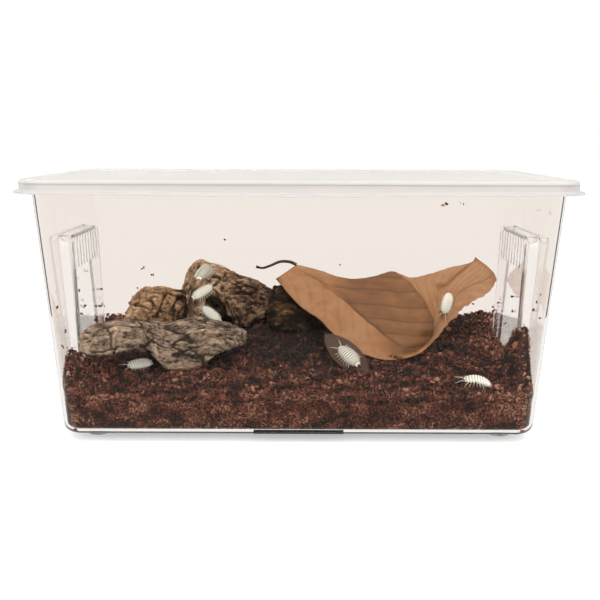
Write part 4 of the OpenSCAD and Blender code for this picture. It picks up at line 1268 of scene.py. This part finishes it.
def isopod_body(length, bend):
    """An isopod that faces +X: overlapping plates, legs, feelers and tail points, in millimetres.
    bend arches its back."""
    a = np.arange(ISOPOD_AROUND) * 2 * np.pi / ISOPOD_AROUND
    flank = np.abs(np.cos(a))
    rings, edge = [], []
    for front, rear in zip(PLATES, PLATES[1:]):
        for part, dark in PLATE_RINGS:
            t = mix(front, rear, part)
            r_side = ISOPOD_WIDE / 2 * girth(t) * (0.70 + 0.38 * part) * np.where(flank > 0.8, 1 + 0.08 * part, 1.0)
            r_up = ISOPOD_TALL * 0.5 * girth(t) * (0.78 + 0.28 * part)
            x = t * length / 2 - 0.9 * part * flank**3
            z = ISOPOD_TALL * 0.5 + r_up * np.sin(a) * np.where(np.sin(a) < -0.1, 0.45, 1.0)
            rings.append(np.stack([x, -r_side * np.cos(a), z - bend * t * t + bend * 0.35], -1))
            # Painted shade: darker in the gap in front of each plate and on the lower side
            edge.append(dark + 0.2 * (np.sin(a) < -0.3))
    parts = [skin(rings)]
    for k in range(LEG_PAIRS):
        t = mix(0.62, -0.42, k / (LEG_PAIRS - 1))
        swing = mix(1.2, -1.6, k / (LEG_PAIRS - 1))
        x = t * length / 2
        reach = ISOPOD_WIDE / 2 * girth(t)
        drop = -bend * t * t + bend * 0.35
        for side in (-1, 1):
            parts.append(limb([(x, side * reach * 0.55, 1.3 + drop), (x + swing * 0.3, side * reach * 0.95, 1.5 + drop),
                               (x + swing, side * (reach + 1.1), 1.1 + drop * 0.5),
                               (x + swing * 1.5, side * (reach + 1.8), 0.2)], 0.36, 0.16, 9))
    drop = -bend * 0.96 + bend * 0.35
    for side in (-1, 1):
        for path, thick, thin, count in ((FEELER, 0.26, 0.07, 15), (TAIL_POINT, 0.3, 0.1, 7)):
            parts.append(limb([(length * x, side * y, z + drop) for x, y, z in path], thick, thin, count))
    points, faces = joined(parts)
    marks = np.full(len(points), LIMB_SHADE)
    marks[:len(parts[0][0])] = np.concatenate([*edge, [0.2, 0.2]])
    return points, faces, marks


def isopod_turn(ahead, up):
    """The matrix that turns +X ahead, and +Z as near to up as it goes."""
    f = unit(ahead)
    s = unit(np.cross(up, f))
    return np.stack([f, s, np.cross(f, s)], -1)


def on_hump(s, t, s2, t2):
    """Where an isopod stands on the hump at (s, t), heading for (s2, t2)."""
    def spot(s, t):
        return bark_point(HUMP_BACK, np.float64(s), np.float64(t))

    here = spot(s, t)
    out = unit(np.cross(spot(s + 0.3, t) - spot(s - 0.3, t), spot(s, t + 0.06) - spot(s, t - 0.06)))
    return here + out * 2.1, spot(s2, t2) - here, out + [0, -0.5, 0.1]


def build_isopods(contents):
    shell = isopod_shell()
    eye = isopod_eye()
    ball, ball_faces = icosahedron()
    u, v = np.array(7.2), np.array(1.3)
    leaf_out = leaf_normal(u, v)
    leaf_ahead = leaf_at(np.array(6.6), np.array(1.3)) - leaf_at(np.array(7.6), np.array(1.7))
    small_leaf_spot = SMALL_LEAF_AT + unit(SMALL_LEAF_OUT) * 1.2 + unit(SMALL_LEAF_ALONG) * 2
    # Where each one stands, where it heads, its upward direction, how grown and how arched it is
    poses = [
        ("isopod_1", *on_hump(2.72, 0.21, 3.25, 0.36), 1.12, 0.5, "keeper"),
        ("isopod_2", (-69.6, 15, 81.6), (14, 4, 8), (-0.3, -0.8, 0.6), 0.95, 0.4, "keeper"),
        ("isopod_3", (-64, 8, 66.5), (-11, 2, 9), (0.2, -0.85, 0.8), 0.95, 0.5, "keeper"),
        ("isopod_4", (-109, -38, float(bed_z(-109, -38)) + 1.6), (-14, -7, -1), (0, -0.6, 0.8), 1.0, 0.6, "keeper"),
        ("isopod_5", small_leaf_spot, -SMALL_LEAF_ALONG, SMALL_LEAF_OUT, 1.1, 0.4, "keeper"),
        ("isopod_6", leaf_at(u, v) + leaf_out * 0.7, leaf_ahead, leaf_out, 0.95, 0.3, "leaf"),
        ("isopod_7", (117, -65, float(bed_z(117, -65)) + 0.9), (-14, 0, 3.2), (0, -0.3, 1), 1.12, 2.2, "keeper"),
    ]
    length = contents.isopod_len / MM
    for name, at, ahead, up, grown, bend, body in poses:
        points, faces, marks = isopod_body(length, bend)
        turn = isopod_turn(ahead, up)
        piece = make_mesh(name + "_plated", np.asarray(at) + grown * points @ turn.T, faces, shell, body,
                          sharp=50, marks={"edge": marks}, close=True)
        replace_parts(piece, name)
        dots, dot_faces = joined([(ball * 0.42 + [length * 0.44, side * 1.55, 3.0 - bend * 0.6], [ball_faces])
                                  for side in (-1, 1)])
        make_mesh(name + "_eyes", np.asarray(at) + grown * dots @ turn.T, dot_faces, eye, body)


# ---------- coir crumbs on the walls ----------

# Places (y, z) on the end walls, and (x, z) on the rear one
LEFT_PLACES = [(-40, 92), (30, 82), (-27, 79), (-39, 76), (22, 71), (2, 64), (26, 61), (-75, 86), (-59, 56),
               (-60, 68), (-20, 61), (58, 70), (70, 62), (-72, 60)]
RIGHT_PLACES = [(-25, 87), (-26, 76), (-67, 94), (-55, 82), (76, 62), (36, 66), (-60, 88), (10, 70), (50, 66),
                (-74, 80), (-8, 64), (24, 74)]
REAR_PLACES = [(-137, 62), (-130, 74), (-121, 66), (115, 141), (117, 142), (130, 143), (33, 93), (-118, 84),
               (-126, 90), (140, 62), (133, 68), (-60, 112)]


def build_crumbs(sizes, contents):
    tub = TubShape(sizes)
    dice = np.random.default_rng(contents.seed + 5)
    husk = coir("coir_crumbs", COIR_CHIPS, 0.8)

    def grains(name, places):
        spots = []
        for place in places:
            count = dice.integers(2, 6)
            spots.append(np.asarray(place) + dice.normal(0, 0.55, (count, 3)))
        spots = np.concatenate(spots)
        points, faces = chips(dice, spots, dice.uniform(0.5, 1.3, len(spots)), 0.5)
        shade = np.repeat(dice.uniform(0.2, 0.85, len(spots)), len(points) // len(spots))
        return make_mesh(name, settle_in_tub(tub, points, 0.12), [faces], husk, "keeper",
                         marks={"shade": shade})

    for sign, places, node in ((-1, LEFT_PLACES, "wall_crumbs_left"), (1, RIGHT_PLACES, "wall_crumbs_right")):
        spots = [(sign * (float(bed_limits(tub, y, z, 0.0)[0]) - 0.7), y, z) for y, z in places]
        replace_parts(grains(node + "_grains", spots), node)
    grains("rear_wall_specks", [(x, tub.half_wid(z) - WALL - 0.6, z) for x, z in REAR_PLACES])


# ---------- stage ----------

WHITE = (1.0, 1.0, 1.0, 1.0)
# Light passes up to a dozen faces of the clear walls before it leaves the tub
BOUNCES = 32
FLOOR_HALF = 6.0
# A strip flag stands beside each end, at this distance from the middle
FLAG_X = 0.42
FLAG_Y = (0.04, 0.15)
FLAG_HIGH = 0.8
CAMERA_AT = (0.0007, -0.7055, 0.1943)
CAMERA_DOWN = 9.28


def stage_sheet(name, corners, material):
    """A flat four-cornered sheet of the stage."""
    mesh = bpy.data.meshes.new(name)
    mesh.from_pydata(corners, [], [(0, 1, 2, 3)])
    mesh.materials.append(material)
    sheet = bpy.data.objects.new(name, mesh)
    bpy.context.scene.collection.objects.link(sheet)
    return sheet


def studio_world(fill):
    """Even light from all round, which the camera, gloss and clear plastic see as plain white."""
    world = bpy.data.worlds.new("studio_white")
    world.use_nodes = True
    tree = world.node_tree
    tree.nodes.clear()
    seen = any_ray(tree, "Is Camera Ray", "Is Glossy Ray", "Is Transmission Ray")
    strength = add(tree, "MapRange", {"Value": seen, 3: fill, 4: 1.0})
    back = add(tree, "Background", {"Color": WHITE, "Strength": strength})
    add(tree, "OutputWorld", {"Surface": back})
    return world


def studio_paper(floor_glow):
    """Matt white paper, lifted so that it reads white. Gloss and clear plastic show it as even a
    white as the backdrop."""
    material, tree = start_material("studio_paper")
    camera_ray = add(tree, "LightPath").outputs["Is Camera Ray"]
    lit = add(tree, "Math", {0: camera_ray, 1: floor_glow}, operation="MULTIPLY")
    glow = add(tree, "Emission", {"Color": WHITE, "Strength": lit})
    matt = add(tree, "BsdfDiffuse", {"Color": colour("e8e8e8")})
    seen = add(tree, "AddShader", {0: glow, 1: matt})
    white = add(tree, "Emission", {"Color": WHITE, "Strength": 1.0})
    mirrored = any_ray(tree, "Is Glossy Ray", "Is Transmission Ray")
    return finished(material, add(tree, "MixShader", {0: mirrored, 1: seen, 2: white}))


def flag_cloth():
    """Dark cloth that draws a thin dark line down the tub's edge. It shows only to light that has
    crossed a single wall, which is two faces."""
    material, tree = start_material("studio_flag")
    crossed = add(tree, "LightPath").outputs["Transmission Depth"]
    beyond = add(tree, "Math", {0: crossed, 1: 2.5}, operation="GREATER_THAN")
    cloth = add(tree, "BsdfDiffuse", {"Color": colour("3a302a")})
    return finished(material, add(tree, "MixShader", {0: beyond, 1: cloth, 2: add(tree, "BsdfTransparent")}))


def build_stage(stage):
    scene = bpy.context.scene
    scene.view_settings.view_transform = "Standard"
    scene.cycles.max_bounces = BOUNCES
    scene.cycles.transmission_bounces = BOUNCES
    scene.cycles.transparent_max_bounces = BOUNCES
    scene.world = studio_world(stage.fill)
    h = FLOOR_HALF
    paper = studio_paper(stage.floor_glow)
    floor = stage_sheet("studio_floor", [(-h, -h, 0), (h, -h, 0), (h, h, 0), (-h, h, 0)], paper)
    dark = flag_cloth()
    near, far = FLAG_Y
    for x in (-FLAG_X, FLAG_X):
        flag = stage_sheet("studio_flag", [(x, near, 0), (x, far, 0), (x, far, FLAG_HIGH), (x, near, FLAG_HIGH)], dark)
        flag.visible_camera = flag.visible_glossy = flag.visible_diffuse = flag.visible_shadow = False

    # Each softbox aims at a point this high above the middle of the floor
    for name, at, aim_high, size, watts in (
            ("softbox_top", (0.0, -0.15, 1.5), 0.08, 1.3, stage.top_watts),
            ("softbox_left", (-1.3, -1.1, 0.9), 0.08, 0.9, stage.side_watts),
            ("softbox_right", (1.3, -1.1, 0.9), 0.08, 0.9, stage.side_watts),
            ("softbox_front", (0.0, -1.5, 0.75), 0.06, 1.2, stage.front_watts)):
        lamp = bpy.data.lights.new(name, "AREA")
        lamp.shape = "SQUARE"
        lamp.size = size
        lamp.energy = watts
        holder = bpy.data.objects.new(name, lamp)
        # The front softbox would show in the lid as a hard white patch
        holder.visible_glossy = name != "softbox_front"
        scene.collection.objects.link(holder)
        back = -unit(np.array((0, 0, aim_high)) - np.array(at))
        side = unit(np.cross((0, 0, 1), back))
        up = np.cross(back, side)
        holder.matrix_world = Matrix([[*row] for row in zip(side, up, back, at)] + [[0, 0, 0, 1]])

    camera = bpy.data.cameras.new("camera")
    camera.lens = stage.lens
    camera.sensor_width = 36
    camera.clip_end = 50
    holder = bpy.data.objects.new("camera", camera)
    scene.collection.objects.link(holder)
    holder.matrix_world = (Matrix.Translation(CAMERA_AT)
                           @ Matrix.Rotation(math.radians(90 - CAMERA_DOWN), 4, "X")
                           @ Matrix.Rotation(math.radians(stage.roll), 4, "Z"))
    scene.camera = holder


# ---------- settings ----------


LENGTH = {"subtype": "DISTANCE", "unit": "LENGTH", "precision": 4}
WATTS = {"min": 0, "max": 500, "subtype": "POWER"}


class KeeperTub(bpy.types.PropertyGroup):
    mouth_len: FloatProperty(name="Mouth length", description="Outside length of the tub's mouth", default=0.330,
                             min=0.2, max=0.6, **LENGTH)
    mouth_wid: FloatProperty(name="Mouth width", description="Outside width of the tub's mouth", default=0.201,
                             min=0.1, max=0.4, **LENGTH)
    draft: FloatProperty(name="Draft", description="How far each wall leans in towards the base", default=0.013,
                         min=0.002, max=0.02, **LENGTH)
    tint: FloatVectorProperty(name="Plastic tint", description="Linear colour that light takes on in the plastic",
                              default=(0.935, 0.895, 0.862), min=0, max=1, subtype="COLOR")
    # Lighter than the walls' tint, as painted light for the light that the grips refract
    grip_tint_painted_lighter: FloatVectorProperty(name="Grip tint", description="Linear colour of the plastic at the grips",
                                   default=(0.97, 0.955, 0.945), min=0, max=1, subtype="COLOR")


class KeeperLook(bpy.types.PropertyGroup):
    milk: FloatProperty(name="Lid milkiness", description="Share of light that the lid scatters through",
                        default=0.2, min=0, max=1, subtype="FACTOR")


class KeeperContents(bpy.types.PropertyGroup):
    isopod_len: FloatProperty(name="Isopod length", description="Length of an isopod's body", default=0.0175,
                              min=0.008, max=0.03, **LENGTH)
    cork_t: FloatProperty(name="Bark thickness", description="Thickness of the cork bark", default=0.009,
                          min=0.003, max=0.015, **LENGTH)
    chips: IntProperty(name="Chips", description="Number of coir chips on the bed's top", default=22000, min=0,
                       max=60000)
    strands: IntProperty(name="Strands", description="Number of coir strands on the bed's top", default=6000, min=0,
                         max=20000)
    seed: IntProperty(name="Seed", description="Changes how the loose coir falls", default=4, min=0, max=9999)


class KeeperStage(bpy.types.PropertyGroup):
    fill: FloatProperty(name="Fill light", description="Strength of the light from all round", default=0.8, min=0,
                        max=3)
    floor_glow: FloatProperty(name="Floor glow", description="Light added so that the floor reads white", default=0.42,
                              min=0, max=1)
    top_watts: FloatProperty(name="Top softbox", description="Power of the overhead softbox", default=10.0, **WATTS)
    side_watts: FloatProperty(name="Side softboxes", description="Power of each side softbox", default=5.0, **WATTS)
    front_watts: FloatProperty(name="Front softbox", description="Power of the softbox above the camera", default=8.0,
                               **WATTS)
    lens: FloatProperty(name="Lens", description="Focal length of the camera", default=60.0, min=10, max=300,
                        subtype="DISTANCE_CAMERA")
    roll: FloatProperty(name="Camera roll", description="Roll of the camera in degrees", default=0.2, min=-5, max=5)


# ---------- operators ----------


class KEEPER_OT_tub(bpy.types.Operator):
    """Build the clear moulded tub"""

    bl_idname = "keeper.tub"
    bl_label = "Tub"

    def execute(self, context):
        build_tub(context.scene.keeper_tub)
        return {"FINISHED"}


class KEEPER_OT_lid(bpy.types.Operator):
    """Build the milky lid"""

    bl_idname = "keeper.lid"
    bl_label = "Lid"

    def execute(self, context):
        build_lid(context.scene.keeper_tub, context.scene.keeper_look)
        return {"FINISHED"}


class KEEPER_OT_feet(bpy.types.Operator):
    """Build the four bumper feet"""

    bl_idname = "keeper.feet"
    bl_label = "Feet"

    def execute(self, context):
        build_feet()
        return {"FINISHED"}


class KEEPER_OT_base_shade_film(bpy.types.Operator):
    """Build the dark film beneath the base, a sheet of painted shade"""

    bl_idname = "keeper.label"
    # The base label is a dark film of painted shade
    bl_label = "Base label"

    def execute(self, context):
        build_base_shade_film()
        return {"FINISHED"}


class KEEPER_OT_bed(bpy.types.Operator):
    """Build the coir bed with its chips and strands"""

    bl_idname = "keeper.bed"
    bl_label = "Coir bed"

    def execute(self, context):
        build_bed(context.scene.keeper_tub, context.scene.keeper_contents)
        return {"FINISHED"}


class KEEPER_OT_bark(bpy.types.Operator):
    """Build the four pieces of cork bark"""

    bl_idname = "keeper.bark"
    bl_label = "Cork bark"

    def execute(self, context):
        build_bark(context.scene.keeper_contents)
        return {"FINISHED"}


class KEEPER_OT_leaves(bpy.types.Operator):
    """Build the large tan leaf and the small dark one"""

    bl_idname = "keeper.leaves"
    bl_label = "Leaves"

    def execute(self, context):
        build_large_leaf()
        build_small_leaf()
        return {"FINISHED"}


class KEEPER_OT_isopods(bpy.types.Operator):
    """Build the seven isopods"""

    bl_idname = "keeper.isopods"
    bl_label = "Isopods"

    def execute(self, context):
        build_isopods(context.scene.keeper_contents)
        return {"FINISHED"}


class KEEPER_OT_crumbs(bpy.types.Operator):
    """Build the coir crumbs that cling to the walls"""

    bl_idname = "keeper.crumbs"
    bl_label = "Wall crumbs"

    def execute(self, context):
        build_crumbs(context.scene.keeper_tub, context.scene.keeper_contents)
        return {"FINISHED"}


class KEEPER_OT_stage(bpy.types.Operator):
    """Set up the floor, the lights and the camera"""

    bl_idname = "keeper.stage"
    bl_label = "Stage"

    def execute(self, context):
        build_stage(context.scene.keeper_stage)
        return {"FINISHED"}


STEPS = (KEEPER_OT_tub, KEEPER_OT_lid, KEEPER_OT_feet, KEEPER_OT_base_shade_film, KEEPER_OT_bed, KEEPER_OT_bark,
         KEEPER_OT_leaves, KEEPER_OT_isopods, KEEPER_OT_crumbs, KEEPER_OT_stage)
GROUPS = {"keeper_tub": KeeperTub, "keeper_look": KeeperLook, "keeper_contents": KeeperContents,
          "keeper_stage": KeeperStage}


class KEEPER_PT_panel(bpy.types.Panel):
    """Lists the keeper's sizes, colours and building steps"""

    bl_label = "Pet keeper"
    bl_idname = "KEEPER_PT_panel"
    bl_space_type = "VIEW_3D"
    bl_region_type = "UI"
    bl_category = "Pet keeper"

    def draw(self, context):
        for group, kind in GROUPS.items():
            box = self.layout.box()
            for key in kind.__annotations__:
                box.prop(getattr(context.scene, group), key)
        for step in STEPS:
            self.layout.operator(step.bl_idname)


def register():
    for kind in (*GROUPS.values(), *STEPS, KEEPER_PT_panel):
        bpy.utils.register_class(kind)
    for name, kind in GROUPS.items():
        setattr(bpy.types.Scene, name, PointerProperty(type=kind))


def unregister():
    for name in GROUPS:
        delattr(bpy.types.Scene, name)
    for kind in reversed((*GROUPS.values(), *STEPS, KEEPER_PT_panel)):
        bpy.utils.unregister_class(kind)


def main():
    register()
    for step in STEPS:
        group, name = step.bl_idname.split(".")
        getattr(getattr(bpy.ops, group), name)()
    bpy.context.view_layer.update()


if __name__ == "__main__":
    main()
